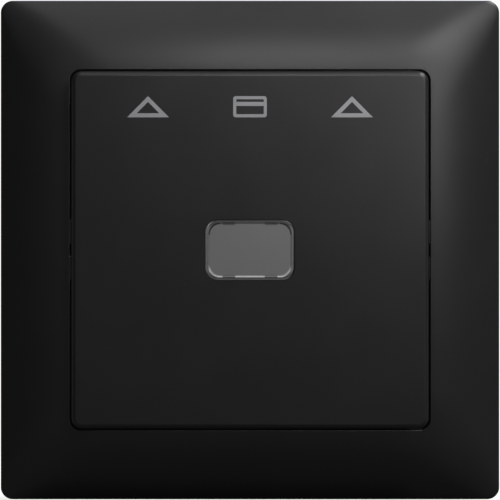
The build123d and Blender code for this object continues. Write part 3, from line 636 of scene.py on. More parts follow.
FINISHES = {
    Slot.BLACK_COVER: Finish(
        (0.0055, 0.0055, 0.0057), 0.43, grain_scale=5200.0, grain_depth=0.000002, mottle=0.04, wear=0.02,
        # The black cover gets a faint painted glow that lifts its darkest shade.
        wear_colour=(0.03, 0.03, 0.03), dust=0.08, specular=0.3, unevenness=0.008, painted_glow=0.001,
    ),
    Slot.SMOKED_LENS: LensFinish(
        (0.089, 0.089, 0.0895), 0.46, grain_scale=5200.0, grain_depth=0.000001, mottle=0.01, wear=0.0,
        dust=0.1, specular=0.16, unevenness=0.01,
    ),
    Slot.INNER_BLACK: Finish(
        (0.012, 0.012, 0.0125), 0.5, grain_scale=4000.0, grain_depth=0.000005, mottle=0.1, wear=0.08,
        wear_colour=(0.06, 0.06, 0.06), specular=0.3,
    ),
    Slot.CLEAR_WINDOW: ClearFinish((0.86, 0.88, 0.9), 0.12),
    Slot.LEVER_GREY: Finish(
        (0.16, 0.16, 0.17), 0.4, grain_scale=4500.0, wear=0.1, wear_colour=(0.3, 0.3, 0.31),
    ),
    Slot.STEEL_PIN: Finish(
        (0.6, 0.6, 0.61), 0.22, 1.0, grain_scale=6000.0, grain_way=Grain.ALONG_X, wear=0.2,
        wear_colour=(0.8, 0.8, 0.8),
    ),
    Slot.ZINC_RING: Finish(
        (0.5, 0.5, 0.485), 0.36, 1.0, grain_scale=1600.0, grain_depth=0.000003, grain_way=Grain.ALONG_X,
        mottle=0.16, wear=0.3, wear_colour=(0.74, 0.74, 0.73),
    ),
    Slot.BASE_MOULDING: Finish(
        (0.45, 0.44, 0.41), 0.55, grain_scale=3500.0, grain_depth=0.000006, mottle=0.05, wear=0.2,
        wear_colour=(0.6, 0.59, 0.56),
    ),
    Slot.COVER_MOULDING: Finish(
        (0.66, 0.65, 0.62), 0.45, grain_scale=4200.0, mottle=0.04, wear_colour=(0.76, 0.75, 0.73),
    ),
    Slot.ZINC_SCREW: Finish(
        (0.64, 0.64, 0.62), 0.3, 1.0, grain_scale=5000.0, grain_depth=0.000002, mottle=0.1, wear=0.4,
        wear_colour=(0.82, 0.82, 0.81),
    ),
    Slot.PLUNGER_WHITE: Finish((0.76, 0.76, 0.73), 0.38, grain_scale=4500.0, mottle=0.03, wear=0.0),
    Slot.SPRING_STEEL: Finish(
        (0.5, 0.5, 0.51), 0.26, 1.0, grain_scale=7000.0, grain_depth=0.000002, mottle=0.12, wear=0.2,
        wear_colour=(0.7, 0.7, 0.7),
    ),
    Slot.CONTACT_BRASS: Finish(
        (0.72, 0.52, 0.24), 0.3, 1.0, grain_scale=3000.0, grain_depth=0.000002, grain_way=Grain.ALONG_Z,
        mottle=0.14, wear=0.3, wear_colour=(0.85, 0.7, 0.4),
    ),
    Slot.SILVER_TIP: Finish((0.8, 0.79, 0.77), 0.28, 1.0, grain_scale=6000.0, mottle=0.1, wear=0.1),
    Slot.GUIDE_GREY: Finish((0.2, 0.2, 0.21), 0.48, grain_scale=4200.0, wear_colour=(0.36, 0.36, 0.36)),
    Slot.RELEASE_ORANGE: Finish(
        (0.72, 0.25, 0.05), 0.4, grain_scale=4500.0, mottle=0.05, wear_colour=(0.85, 0.5, 0.3),
    ),
    Slot.CIRCUIT_BOARD: BoardFinish(
        (0.04, 0.2, 0.08), 0.3, grain_scale=2500.0, grain_depth=0.000002, wear=0.2,
        wear_colour=(0.5, 0.48, 0.3), coat=0.2,
    ),
    Slot.LED_CLEAR: ClearFinish((0.86, 0.86, 0.8), 0.1, 0.6),
    Slot.RESISTOR_BODY: BandedFinish((0.6, 0.47, 0.31), 0.25, grain_scale=3000.0, wear=0.0, coat=0.4),
    Slot.CLAW_STEEL: Finish(
        (0.56, 0.56, 0.55), 0.34, 1.0, grain_scale=2200.0, grain_depth=0.000003, mottle=0.14, wear=0.4,
        wear_colour=(0.75, 0.75, 0.74),
    ),
}
PRINT_INK = Finish(
    (0.148, 0.15, 0.156), 0.6, grain_scale=7000.0, grain_depth=0.000001, mottle=0.05, wear=0.0,
    specular=0.25,
)


@cache
def material_of(slot: Slot, finish: Finish | ClearFinish) -> Material:
    """Give the material of a slot's finish, made when it is first asked for."""
    return finish.material(slot.value)


def reach_group(reach: Reach) -> bpy.types.Collection:
    """Give the group of pieces of a reach, made when it is first asked for."""
    return bpy.data.collections.get(reach.value) or bpy.data.collections.new(reach.value)


def make_piece(name: str, mesh: bpy.types.Mesh) -> Piece:
    """Put a mesh into the scene as an object at the origin.

    Args:
        name: Name of the piece.
        mesh: Its mesh, in metres.

    Returns:
        The new piece.
    """
    piece = bpy.data.objects.new(name, mesh)
    bpy.context.scene.collection.objects.link(piece)
    return piece


def bake_modifiers(piece: Piece) -> None:
    """Turn a piece with modifiers into a plain mesh.

    Args:
        piece: Object whose modifiers are applied and removed.
    """
    bpy.context.view_layer.update()
    evaluated = piece.evaluated_get(bpy.context.evaluated_depsgraph_get())
    plain = bpy.data.meshes.new_from_object(evaluated)
    piece.modifiers.clear()
    old = piece.data
    piece.data = plain
    bpy.data.meshes.remove(old)


def register(
    piece: Piece, body: Body, slot: Slot, replaces: tuple[str, ...] = (), finish: Finish | None = None
) -> Piece:
    """Give a finished piece its material, its body and its slot, and report it.

    Args:
        piece: The piece, with its place in its mesh.
        body: CAD body that it rides on.
        slot: Material slot of the record.
        replaces: CAD nodes that it stands for.
        finish: Finish of its own, where it doesn't take the slot's.

    Returns:
        The piece.
    """
    piece.data.materials.clear()
    piece.data.materials.append(material_of(slot, finish or FINISHES[slot]))
    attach(piece, body.value)
    if replaces:
        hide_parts(*replaces)
    LOG.info("%s: %d faces, rides on %s", piece.name, len(piece.data.polygons), body.value)
    return piece


def merged_copy(node: str) -> Shape:
    """Copy a CAD node's triangles, joined at their corners and cleared of needless edges.

    Args:
        node: Name of the CAD node.

    Returns:
        The mesh under construction.
    """
    shape = bmesh.new()
    shape.from_mesh(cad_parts[node].data)
    bmesh.ops.remove_doubles(shape, verts=shape.verts, dist=WELD_DISTANCE)
    bmesh.ops.dissolve_limit(shape, angle_limit=FLAT_ANGLE, verts=shape.verts, edges=shape.edges)
    return shape


def ease(shape: Shape, node: str, edge: float, limit: float = 35.0) -> Piece:
    """Turn a mesh under construction into a piece whose small rounded edges catch the light.

    Args:
        shape: The mesh under construction, which is freed.
        node: Name of the CAD node that it stands for.
        edge: Width of the rounding in millimetres.
        limit: Smallest angle between faces, in degrees, that is rounded.

    Returns:
        The new piece.
    """
    mesh = bpy.data.meshes.new(f"{node}_eased")
    shape.to_mesh(mesh)
    shape.free()
    mesh.shade_smooth()
    piece = make_piece(f"{node}_eased", mesh)
    bevel = piece.modifiers.new("edges", "BEVEL")
    bevel.width = edge * MM
    bevel.segments = 2
    bevel.limit_method = "ANGLE"
    bevel.angle_limit = math.radians(limit)
    bevel.miter_outer = "MITER_ARC"
    bevel.use_clamp_overlap = True
    piece.modifiers.new("normals", "WEIGHTED_NORMAL").keep_sharp = True
    bake_modifiers(piece)
    return piece


def rounded_loop(
    half_width: float,
    half_height: float,
    radius: float,
    out: float = 0.0,
    steps: int = 6,
    offsets: tuple[float, ...] = (),
) -> Loop:
    """Make a rounded rectangle about the middle, anticlockwise from the right side.

    Args:
        half_width: Half of its width.
        half_height: Half of its height.
        radius: Corner radius.
        out: Height above the wall.
        steps: Steps of each corner's arc.
        offsets: Distances from each corner's arc at which a straight side gets a point.

    Returns:
        Points as right, up and out.
    """
    points: Loop = []
    for quarter, (side, level) in enumerate(((1, 1), (-1, 1), (-1, -1), (1, -1))):
        middle = Vector((side * (half_width - radius), level * (half_height - radius)))
        start = quarter * math.pi / 2
        first = Vector((math.cos(start), math.sin(start)))
        last = Vector((-math.sin(start), math.cos(start)))
        turns = [step / steps * math.pi / 2 for step in range(steps + 1)]
        corner = [middle + radius * first - offset * last for offset in reversed(offsets)]
        corner += [middle + radius * (math.cos(turn) * first + math.sin(turn) * last) for turn in turns]
        corner += [middle + radius * last - offset * first for offset in offsets]
        points += [(*point, out) for point in corner]
    return points


def loft(name: str, loops: list[Loop], closed: bool = False, sharp: float = 35.0) -> Piece:
    """Stretch a smooth surface over loops that have the same number of points.

    Args:
        name: Name of the piece.
        loops: The loops in order.
        closed: Whether the last loop joins the first. If not, both ends are filled.
        sharp: Angle in degrees from which an edge stays sharp.

    Returns:
        The new piece.
    """
    shape = bmesh.new()
    rings = [[shape.verts.new(at(*point)) for point in loop] for loop in loops]
    count = len(rings[0])
    following = rings[1:] + rings[:1] if closed else rings[1:]
    for low, high in zip(rings, following):
        for index in range(count):
            after = (index + 1) % count
            shape.faces.new((low[index], low[after], high[after], high[index]))
    if not closed:
        shape.faces.new(rings[0])
        shape.faces.new(rings[-1])
    bmesh.ops.recalc_face_normals(shape, faces=shape.faces)
    mesh = bpy.data.meshes.new(name)
    shape.to_mesh(mesh)
    shape.free()
    mesh.shade_smooth()
    mesh.set_sharp_from_angle(angle=math.radians(sharp))
    return make_piece(name, mesh)


def raised_ring(name: str, outer: Loop, inner: Loop, face: float, lift: float) -> Piece:
    """Make a low flat ring between two outlines on a face.

    Args:
        name: Name of the piece.
        outer: Outer outline.
        inner: Inner outline with as many points.
        face: Height of the face that it lies on.
        lift: How far it stands out, below zero towards the wall.

    Returns:
        The new piece.
    """
    sides = ((inner, 0.0), (inner, lift), (outer, lift), (outer, 0.0))
    loops = [[(right, up, face + height) for right, up, _ in loop] for loop, height in sides]
    return loft(name, loops, True, 20.0)


def end_tree(tree: Tree, geometry: Output, material: Output, result: Node) -> Tree:
    """Make a geometry tree's result real and give it its material.

    Args:
        tree: The geometry tree.
        geometry: What the tree has made.
        material: Its material.
        result: The tree's output node.

    Returns:
        The tree.
    """
    real = read(tree, "GeometryNodeRealizeInstances", "Geometry", {"Geometry": geometry})
    dressed = read(tree, "GeometryNodeSetMaterial", "Geometry", {"Geometry": real, "Material": material})
    fill(result, {"Geometry": dressed})
    return tree


@cache
def repeat_tree() -> Tree:
    """Build the tree that places a template in a row, and the row again round the wall's normal.

    Returns:
        The node group.
    """
    inputs = {
        "Geometry": "Geometry",
        "Template": "Object",
        "Row Count": "Int",
        "Row Start": "Vector",
        "Row Step": "Vector",
        "Turn Count": "Int",
        "Turn Angle": "Float",
        "Material": "Material",
    }
    tree, given, result = new_group("repeat_round", "GeometryNodeTree", inputs, {"Geometry": "Geometry"})
    template = read(tree, "GeometryNodeObjectInfo", "Geometry", {"Object": given["Template"]})
    line = {"Count": given["Row Count"], "Start Location": given["Row Start"], "Offset": given["Row Step"]}
    points = read(tree, "GeometryNodeMeshLine", "Mesh", line)
    copies = {"Points": points, "Instance": template}
    row = read(tree, "GeometryNodeInstanceOnPoints", "Instances", copies)
    line = {"Count": given["Turn Count"], "Offset": (0.0, 0.0, 0.0)}
    points = read(tree, "GeometryNodeMeshLine", "Mesh", line)
    angle = read(tree, "GeometryNodeInputIndex", 0) * given["Turn Angle"]
    rotation = read(tree, "ShaderNodeCombineXYZ", 0, {"Y": angle})
    copies = {"Points": points, "Instance": row, "Rotation": rotation}
    turned = read(tree, "GeometryNodeInstanceOnPoints", "Instances", copies)
    return end_tree(tree, turned, given["Material"], result)


@cache
def helix_tree() -> Tree:
    """Build the tree that sweeps a bar along a right-handed helix out of the wall.

    Returns:
        The node group.
    """
    inputs = {
        "Geometry": "Geometry",
        "Turns": "Float",
        "Steps Each Turn": "Int",
        "Radius": "Float",
        "Length": "Float",
        "Bar Radius": "Float",
        "Bar Sides": "Int",
        "Place": "Vector",
        "Material": "Material",
    }
    tree, given, result = new_group("helix_bar", "GeometryNodeTree", inputs, {"Geometry": "Geometry"})
    path = {
        "Resolution": given["Steps Each Turn"],
        "Rotations": given["Turns"],
        "Start Radius": given["Radius"],
        "End Radius": given["Radius"],
        "Height": given["Length"],
        "Reverse": True,
    }
    helix = read(tree, "GeometryNodeCurveSpiral", 0, path)
    section = {"Resolution": given["Bar Sides"], "Radius": given["Bar Radius"]}
    bar = read(tree, "GeometryNodeCurvePrimitiveCircle", 0, section, mode="RADIUS")
    sweep = {"Curve": helix, "Profile Curve": bar, "Fill Caps": True}
    swept = read(tree, "GeometryNodeCurveToMesh", "Mesh", sweep)
    smooth = read(tree, "GeometryNodeSetShadeSmooth", "Geometry", {"Geometry": swept})
    outward = (math.pi / 2, 0.0, 0.0)
    move = {"Geometry": smooth, "Translation": given["Place"], "Rotation": outward}
    placed = read(tree, "GeometryNodeTransform", "Geometry", move)
    return end_tree(tree, placed, given["Material"], result)


def grow(name: str, tree: Tree, slot: Slot, values: dict[str, object]) -> Piece:
    """Run a geometry tree and keep its result as a plain mesh.

    Args:
        name: Name of the piece.
        tree: Geometry node group.
        slot: Material slot whose finish it takes.
        values: Input value by socket name.

    Returns:
        The piece, with no modifier left.
    """
    values = values | {"Material": material_of(slot, FINISHES[slot])}
    piece = make_piece(name, bpy.data.meshes.new(name))
    modifier = piece.modifiers.new("tree", "NODES")
    modifier.node_group = tree
    for socket in tree.interface.items_tree:
        if socket.item_type == "SOCKET" and socket.in_out == "INPUT" and socket.name in values:
            modifier[socket.identifier] = values[socket.name]
    bake_modifiers(piece)
    return piece


def repeat(
    name: str, template: Piece, slot: Slot, start: Vector, step: Vector, turns: int = 1, angle: float = 0.0
) -> Piece:
    """Place a pair of a template, drop the template and register the copies.

    Args:
        name: Name of the piece.
        template: Piece that is copied.
        slot: Material slot.
        start: Place of the first copy.
        step: Step to the second copy.
        turns: Times the pair is set round the middle.
        angle: Angle between two pairs, in degrees.

    Returns:
        The piece.
    """
    row = {"Template": template, "Row Count": 2, "Row Start": start, "Row Step": step}
    turn = {"Turn Count": turns, "Turn Angle": math.radians(angle)}
    piece = grow(name, repeat_tree(), slot, row | turn)
    bpy.data.objects.remove(template)
    return register(piece, Body.INSERT, slot)


@dataclass(frozen=True)
class Part:
    """CAD node that is dressed with eased edges, whose width is in millimetres."""

    node: str
    slot: Slot
    edge: float = 0.12
    body: Body = Body.INSERT
    limit: float = 35.0

    def shape(self) -> Shape:
        """Copy the node's mesh, ready to be eased."""
        return merged_copy(self.node)

    def build(self) -> Piece:
        """Replace the node by its eased copy."""
        eased = ease(self.shape(), self.node, self.edge, self.limit)
        return register(eased, self.body, self.slot, (self.node,))


@dataclass(frozen=True)
class Assembly:
    """Group of parts that are dressed one after the other."""

    parts: tuple[Part, ...] = ()

    def build(self) -> None:
        """Build every part."""
        for part in self.parts:
            part.build()


@dataclass(frozen=True)
class CoverFrame:
    """Square frame whose front swells from a low outer edge up to the rim of its opening."""

    half_side: float = 40.25
    wall: float = 1.8
    edge_height: float = 5.6
    rise: float = 3.95
    outer_tilt: float = 34.0
    rim_tilt: float = 6.0
    chamfer: float = 0.3
    corner: float = 1.95
    full_corner: float = 7.5
    corner_depth: float = 2.0
    edge_drops: tuple[Pair, ...] = ((0.0, 0.2), (0.05, 0.1), (0.12, 0.035), (0.2, 0.0))
    back_ease: Pair = (0.12, 0.15)
    opening_half: float = 29.1
    opening_corner: float = 1.8
    rim_round: float = 0.08
    rim_steps: tuple[float, ...] = (30.0, 60.0, 90.0)
    ledge_half: float = 26.0
    ledge_corner: float = 3.0
    ledge_front: float = 3.9
    ledge_back: float = 2.3
    collar: float = 1.4
    roof_high: float = 7.75
    roof_low: float = 4.7
    rows: int = 30
    first_shares: tuple[float, ...] = (0.0, 0.004, 0.012)
    last_shares: tuple[float, ...] = (0.985, 0.996, 1.0)
    arc_steps: int = 14
    halvings: int = 28
    offsets: tuple[float, ...] = (0.7, 1.6, 2.8, 4.4, 6.6, 9.4)
    web_thickness: float = 1.2
    web_offset: float = 18.0
    rib_length: float = 3.9
    rib_gap: float = 1.95
    rib_proud: float = 0.28
    rib_front: float = 9.25
    rib_ease: float = 0.1
    rib_sink: float = 0.2
    rib_taper: Pair = (0.05, 0.96)
    seat: float = 0.3

    def corner_at(self, inset: float) -> float:
        """Corner radius of the front's level line at a distance in from the edge."""
        grown = 1 - math.exp(-max(inset, 0.0) / self.corner_depth)
        return self.corner + (self.full_corner - self.corner) * grown

    def inset_of(self, right: float, up: float) -> float:
        """Find the level line that a point lies on, by halving.

        Args:
            right: Place to the right of the middle.
            up: Place above the middle.

        Returns:
            The inset of that line from the frame's edge.
        """
        low = 0.0
        high = self.half_side - self.ledge_half
        for _ in range(self.halvings):
            inset = (low + high) / 2
            radius = self.corner_at(inset)
            across = abs(right) - (self.half_side - inset - radius)
            along = abs(up) - (self.half_side - inset - radius)
            beyond = math.hypot(max(across, 0.0), max(along, 0.0))
            if beyond + min(max(across, along), 0.0) < radius:
                low = inset
            else:
                high = inset
        return (low + high) / 2

    def front_at(self, inset: float) -> float:
        """Height of the front at a distance in from the edge, an arc from the outer tilt to the rim's.

        Args:
            inset: Distance in from the frame's edge.

        Returns:
            The height above the wall.
        """
        steep = math.radians(self.outer_tilt)
        shallow = math.radians(self.rim_tilt)
        if inset < self.chamfer:
            return self.edge_height - (self.chamfer - inset) * math.tan(steep)
        share = (inset - self.chamfer) / (self.half_side - self.opening_half - self.chamfer)
        slope = math.sin(steep) - share * (math.sin(steep) - math.sin(shallow))
        arc = (math.sqrt(1 - slope * slope) - math.cos(steep)) / (math.cos(shallow) - math.cos(steep))
        return self.edge_height + self.rise * arc

    def square(self, half: float, radius: float, out: float = 0.0) -> Loop:
        """Rounded square loop of the frame's own point count."""
        return rounded_loop(half, half, radius, out, self.arc_steps, self.offsets)

    def front_loops(self) -> list[Loop]:
        """Make the front from its rounded outer edge to its rounded rim.

        Returns:
            Loops from outside to inside.
        """
        loops = []
        for inset, drop in self.edge_drops:
            half = self.half_side - inset
            loops.append(self.square(half, self.corner_at(inset), self.front_at(inset) - drop))
        outer = loops.pop()
        rim_half = self.opening_half + self.rim_round
        rim_corner = self.opening_corner + self.rim_round
        rim = self.square(rim_half, rim_corner)
        middle_shares = tuple(row / self.rows for row in range(1, self.rows))
        for share in self.first_shares + middle_shares + self.last_shares:
            flat = [Vector(first[:2]).lerp(last[:2], share) for first, last in zip(outer, rim)]
            loops.append([(right, up, self.front_at(self.inset_of(right, up))) for right, up in flat])
        top = [point[2] for point in loops[-1]]
        for step in self.rim_steps:
            inward = self.rim_round * math.sin(math.radians(step))
            drop = self.rim_round * (1 - math.cos(math.radians(step)))
            flat = self.square(rim_half - inward, rim_corner - inward)
            loops.append([(right, up, height - drop) for (right, up, _), height in zip(flat, top)])
        return loops

    def inner_loops(self) -> list[Loop]:
        """Make the opening's wall, the ledge behind the plate, the collar, the hollow back and the edge.

        Returns:
            Loops from the rim round to the back edge.
        """
        hollow_half = self.half_side - self.wall
        collar = (self.opening_half + self.collar, self.opening_corner + self.collar)
        inner_ease, outer_ease = self.back_ease
        return [
            self.square(self.opening_half, self.opening_corner, self.ledge_front),
            self.square(self.ledge_half, self.ledge_corner, self.ledge_front),
            self.square(self.ledge_half, self.ledge_corner, self.ledge_back),
            self.square(*collar, self.ledge_back),
            self.square(*collar, self.roof_high),
            self.square(hollow_half, self.opening_corner, self.roof_low),
            self.square(hollow_half, self.opening_corner, inner_ease),
            self.square(hollow_half + inner_ease, self.opening_corner),
            self.square(self.half_side - outer_ease, self.corner),
            self.square(self.half_side, self.corner, outer_ease),
        ]

    def web(self) -> Piece:
        """Make one web of the hollow back, at the right side's middle.

        Returns:
            The web.
        """
        near = self.opening_half + self.collar - self.seat
        far = self.half_side - self.wall + self.seat
        low = self.ledge_back
        outline = ((near, low), (far, low), (far, self.roof_low), (near, self.roof_high))
        half = self.web_thickness / 2
        return loft("web", [[(right, up, out) for right, out in outline] for up in (-half, half)])

    def rib(self) -> Piece:
        """Make one centring rib of the opening, at the right side's middle, with eased edges.

        Returns:
            The rib.
        """
        near = self.opening_half - self.rib_proud
        half = self.rib_length / 2
        ease_width = self.rib_ease
        side = [(near, half - ease_width), (near + ease_width, half), (self.opening_half + self.seat, half)]
        section = [(right, -up) for right, up in reversed(side)] + side
        inward, narrowed = self.rib_taper
        low = [(right, up, self.ledge_front - self.rib_sink) for right, up in section]
        high = [(right, up, self.rib_front - ease_width) for right, up in section]
        tip = [(right + inward, up * narrowed, self.rib_front) for right, up in section]
        return loft("rib", [low, high, tip])

    def build(self) -> None:
        """Build the frame, its webs and its centring ribs."""
        shell = loft("frame_shell", self.front_loops() + self.inner_loops(), True, 30.0)
        register(shell, Body.INSERT, Slot.BLACK_COVER, ("cover_frame",))
        offset = at(0.0, self.web_offset, 0.0)
        repeat("frame_webs", self.web(), Slot.BLACK_COVER, -offset, 2 * offset, 4, 90.0)
        pitch = at(0.0, self.rib_length + self.rib_gap, 0.0)
        ribs = repeat("frame_ribs", self.rib(), Slot.BLACK_COVER, -pitch / 2, pitch, 2, 180.0)
        for piece in (shell, ribs):
            reach_group(Reach.FRONT).objects.link(piece)


@dataclass(frozen=True)
class CentrePlate:
    """Raised square plate with its smoked lens and its printed marks."""

    plate: Part = Part("centre_plate", Slot.BLACK_COVER, 0.08, limit=40.0)
    lens: Part = Part("lens", Slot.SMOKED_LENS, 0.05, limit=40.0)
    ink_depth: float = 0.02
    mark_level: float = 21.36
    mark_height: float = 3.41
    mark_line: float = 0.65
    arrow_offset: float = 16.42
    arrow_width: float = 6.75
    card_width: float = 5.42
    card_corners: Pair = (0.42, 0.1)
    card_line_share: float = 0.77
    stripe_height: float = 0.66
    stripe_drop: float = 0.42
    stripe_overlap: float = 0.02

    @property
    def face(self) -> float:
        """Height of the plate's front."""
        return Extent.of(self.plate.node).front

    def arrow(self, name: str, centre: float) -> Piece:
        """Make an outline arrowhead that points up.

        Args:
            name: Name of the piece.
            centre: Place of its tip to the right of the middle.

        Returns:
            The piece.
        """
        low = self.mark_level
        high = low + self.mark_height
        half = self.arrow_width / 2
        slope = math.atan2(self.mark_height, half)
        inner_half = half - self.mark_line / math.tan(slope / 2)
        inner_high = high - self.mark_line / math.cos(slope)
        inner_low = low + self.mark_line
        outer = [(centre - half, low, 0.0), (centre + half, low, 0.0), (centre, high, 0.0)]
        inner = [(centre - inner_half, inner_low, 0.0), (centre + inner_half, inner_low, 0.0)]
        inner.append((centre, inner_high, 0.0))
        return raised_ring(name, outer, inner, self.face, self.ink_depth)

    def card_sign(self) -> list[Piece]:
        """Make the sign of a card: its rounded outline and its stripe.

        Returns:
            The two pieces.
        """
        half_width = self.card_width / 2
        half_height = self.mark_height / 2
        middle = self.mark_level + half_height
        line = self.mark_line * self.card_line_share
        outer_corner, inner_corner = self.card_corners
        outer = rounded_loop(half_width, half_height, outer_corner)
        inner = rounded_loop(half_width - line, half_height - line, inner_corner)
        rings = [[(right, up + middle, 0.0) for right, up, _ in loop] for loop in (outer, inner)]
        outline = raised_ring("mark_card", *rings, self.face, self.ink_depth)
        reach = half_width - line + self.stripe_overlap
        high = middle + half_height - line - self.stripe_drop
        low = high - self.stripe_height
        bar = ((reach, high), (-reach, high), (-reach, low), (reach, low))
        heights = (self.face, self.face + self.ink_depth)
        stripe = loft("mark_stripe", [[(*corner, out) for corner in bar] for out in heights], sharp=20.0)
        return [outline, stripe]

    def build(self) -> None:
        """Build the plate, the lens and the marks."""
        plate = self.plate.build()
        lens = self.lens.build()
        marks = [self.arrow("mark_left", -self.arrow_offset), self.arrow("mark_right", self.arrow_offset)]
        marks += self.card_sign()
        for mark in marks:
            register(mark, Body.INSERT, Slot.BLACK_COVER, finish=PRINT_INK)
        for piece in [plate, lens] + marks:
            reach_group(Reach.FRONT).objects.link(piece)
        no_shadow = reach_group(Reach.PAST_PLATE)
        for piece in (plate, lens):
            no_shadow.objects.link(piece)
        for member in no_shadow.collection_objects:
            member.light_linking.link_state = "EXCLUDE"


@dataclass(frozen=True)
class CardPocket(Assembly):
    """Back wall of the pocket with its clear pane, and the lever that the card pushes."""

    parts: tuple[Part, ...] = (
        Part("card_guide", Slot.INNER_BLACK, 0.1),
        Part("light_window", Slot.CLEAR_WINDOW, 0.05),
        Part("card_lever", Slot.LEVER_GREY, 0.1, Body.CARD_LEVER),
        Part("lever_pin", Slot.STEEL_PIN),
    )


@dataclass(frozen=True)
class SupportRing(Assembly):
    """Zinc-plated steel ring that is screwed to the wall box."""

    parts: tuple[Part, ...] = (Part("support_ring", Slot.ZINC_RING, 0.1),)


@dataclass(frozen=True)
class CoilSpring:
    """Coil spring of the push rod."""

    turns: float = 6.0
    steps: int = 40
    wire: float = 0.3
    wire_sides: int = 12
    travel: float = 1.424

    def build(self) -> None:
        """Wind the spring in the place of its CAD node."""
        extent = Extent.of("plunger_spring")
        values = {
            "Turns": self.turns,
            "Steps Each Turn": self.steps,
            "Radius": ((extent.right - extent.left) / 2 - self.wire) * MM,
            "Length": (extent.depth - 2 * self.wire) * MM,
            "Bar Radius": self.wire * MM,
            "Bar Sides": self.wire_sides,
            "Place": at(0.0, extent.middle_y, extent.back + self.wire),
        }
        coil = grow("coil_spring", helix_tree(), Slot.SPRING_STEEL, values)
        register(coil, Body.INSERT, Slot.SPRING_STEEL, ("plunger_spring",))
        fixed_end = tuple(at(0.0, 0.0, extent.back))
        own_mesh(coil)


@dataclass(frozen=True)
class MouldMarks:
    """What the mould leaves on the box's back: a stripping gauge and the rings of its pins."""

    length: float = 12.0
    height: float = 3.0
    up: float = 3.2
    corners: Pair = (0.6, 0.4)
    line: float = 0.45
    depth: float = 0.25
    pin_radius: float = 1.6
    pin_line: float = 0.27
    pin_depth: float = 0.15
    pin_place: float = 11.5

    def build(self) -> None:
        """Raise the gauge's outline and the two rings."""
        back = Extent.of("switch_base").back
        half_width = self.length / 2
        half_height = self.height / 2
        outer_corner, inner_corner = self.corners
        outer = rounded_loop(half_width, half_height, outer_corner)
        inner = rounded_loop(half_width - self.line, half_height - self.line, inner_corner)
        outlines = [[(right, up + self.up, out) for right, up, out in loop] for loop in (outer, inner)]
        gauge = raised_ring("stripping_gauge", *outlines, back, -self.depth)
        register(gauge, Body.INSERT, Slot.BASE_MOULDING)
        radii = (self.pin_radius, self.pin_radius - self.pin_line)
        circles = [rounded_loop(radius, radius, radius, steps=8) for radius in radii]
        ring = raised_ring("pin_ring", *circles, back, -self.pin_depth)
        start = at(-self.pin_place, self.pin_place, 0.0)
        step = at(2 * self.pin_place, 0.0, 0.0)
        repeat("mould_pin_rings", ring, Slot.BASE_MOULDING, start, step)


@dataclass(frozen=True)
class SwitchBody(Assembly):
    """Moulded box with its lid, screws, push rod, coil spring and contacts."""

    parts: tuple[Part | CoilSpring | MouldMarks, ...] = (
        Part("switch_base", Slot.BASE_MOULDING, 0.15),
        Part("switch_cover", Slot.COVER_MOULDING),
        Part("cover_screws", Slot.ZINC_SCREW, 0.08),
        Part("plunger", Slot.PLUNGER_WHITE, 0.1, Body.PLUNGER),
        Part("contact_bridge", Slot.CONTACT_BRASS, 0.05, Body.PLUNGER),
        Part("bridge_tips", Slot.SILVER_TIP, 0.06, Body.PLUNGER),
        Part("fixed_tips", Slot.SILVER_TIP, 0.06),
        Part("fixed_contact_left", Slot.CONTACT_BRASS, 0.05),
        Part("fixed_contact_right", Slot.CONTACT_BRASS, 0.05),
        CoilSpring(),
        MouldMarks(),
    )


@dataclass(frozen=True)
class LeafSprings(Part):
    """Pair of bent leaf springs at a release button."""

    joint: str = ""
    travel: float = 1.5

    def build(self) -> Piece:
        """Replace the CAD springs by eased copies.

        Returns:
            The piece.
        """
        piece = super().build()
        extent = Extent.of(self.node)
        fixed_end = tuple(at(0.0, 0.0, extent.front))
        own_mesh(piece)
        return piece


@dataclass(frozen=True)
class WireTerminals(Assembly):
    """Wire guides, release buttons and cage springs of the push-in terminals."""

    parts: tuple[Part, ...] = (
        Part("wire_guide_left", Slot.GUIDE_GREY),
        Part("wire_guide_right", Slot.GUIDE_GREY),
        Part("release_button_left", Slot.RELEASE_ORANGE, body=Body.RELEASE_BUTTON_LEFT),
        Part("release_button_right", Slot.RELEASE_ORANGE, body=Body.RELEASE_BUTTON_RIGHT),
        LeafSprings("clamp_springs_left", Slot.SPRING_STEEL, 0.04, joint="release_button_left_press"),
        LeafSprings("clamp_springs_right", Slot.SPRING_STEEL, 0.04, joint="release_button_right_press"),
    )


@dataclass(frozen=True)
class LampUnit(Assembly):
    """Small board with the lamp, its resistor, its pins and the leaves that feed them."""

    parts: tuple[Part, ...] = (
        Part("lamp_board", Slot.CIRCUIT_BOARD, 0.06),
        Part("lamp_pins", Slot.CONTACT_BRASS, 0.06),
        Part("lamp_led", Slot.LED_CLEAR, 0.06),
        Part("lamp_resistor", Slot.RESISTOR_BODY, 0.06),
        Part("lamp_contact_left", Slot.CONTACT_BRASS, 0.05),
        Part("lamp_contact_right", Slot.CONTACT_BRASS, 0.05),
    )


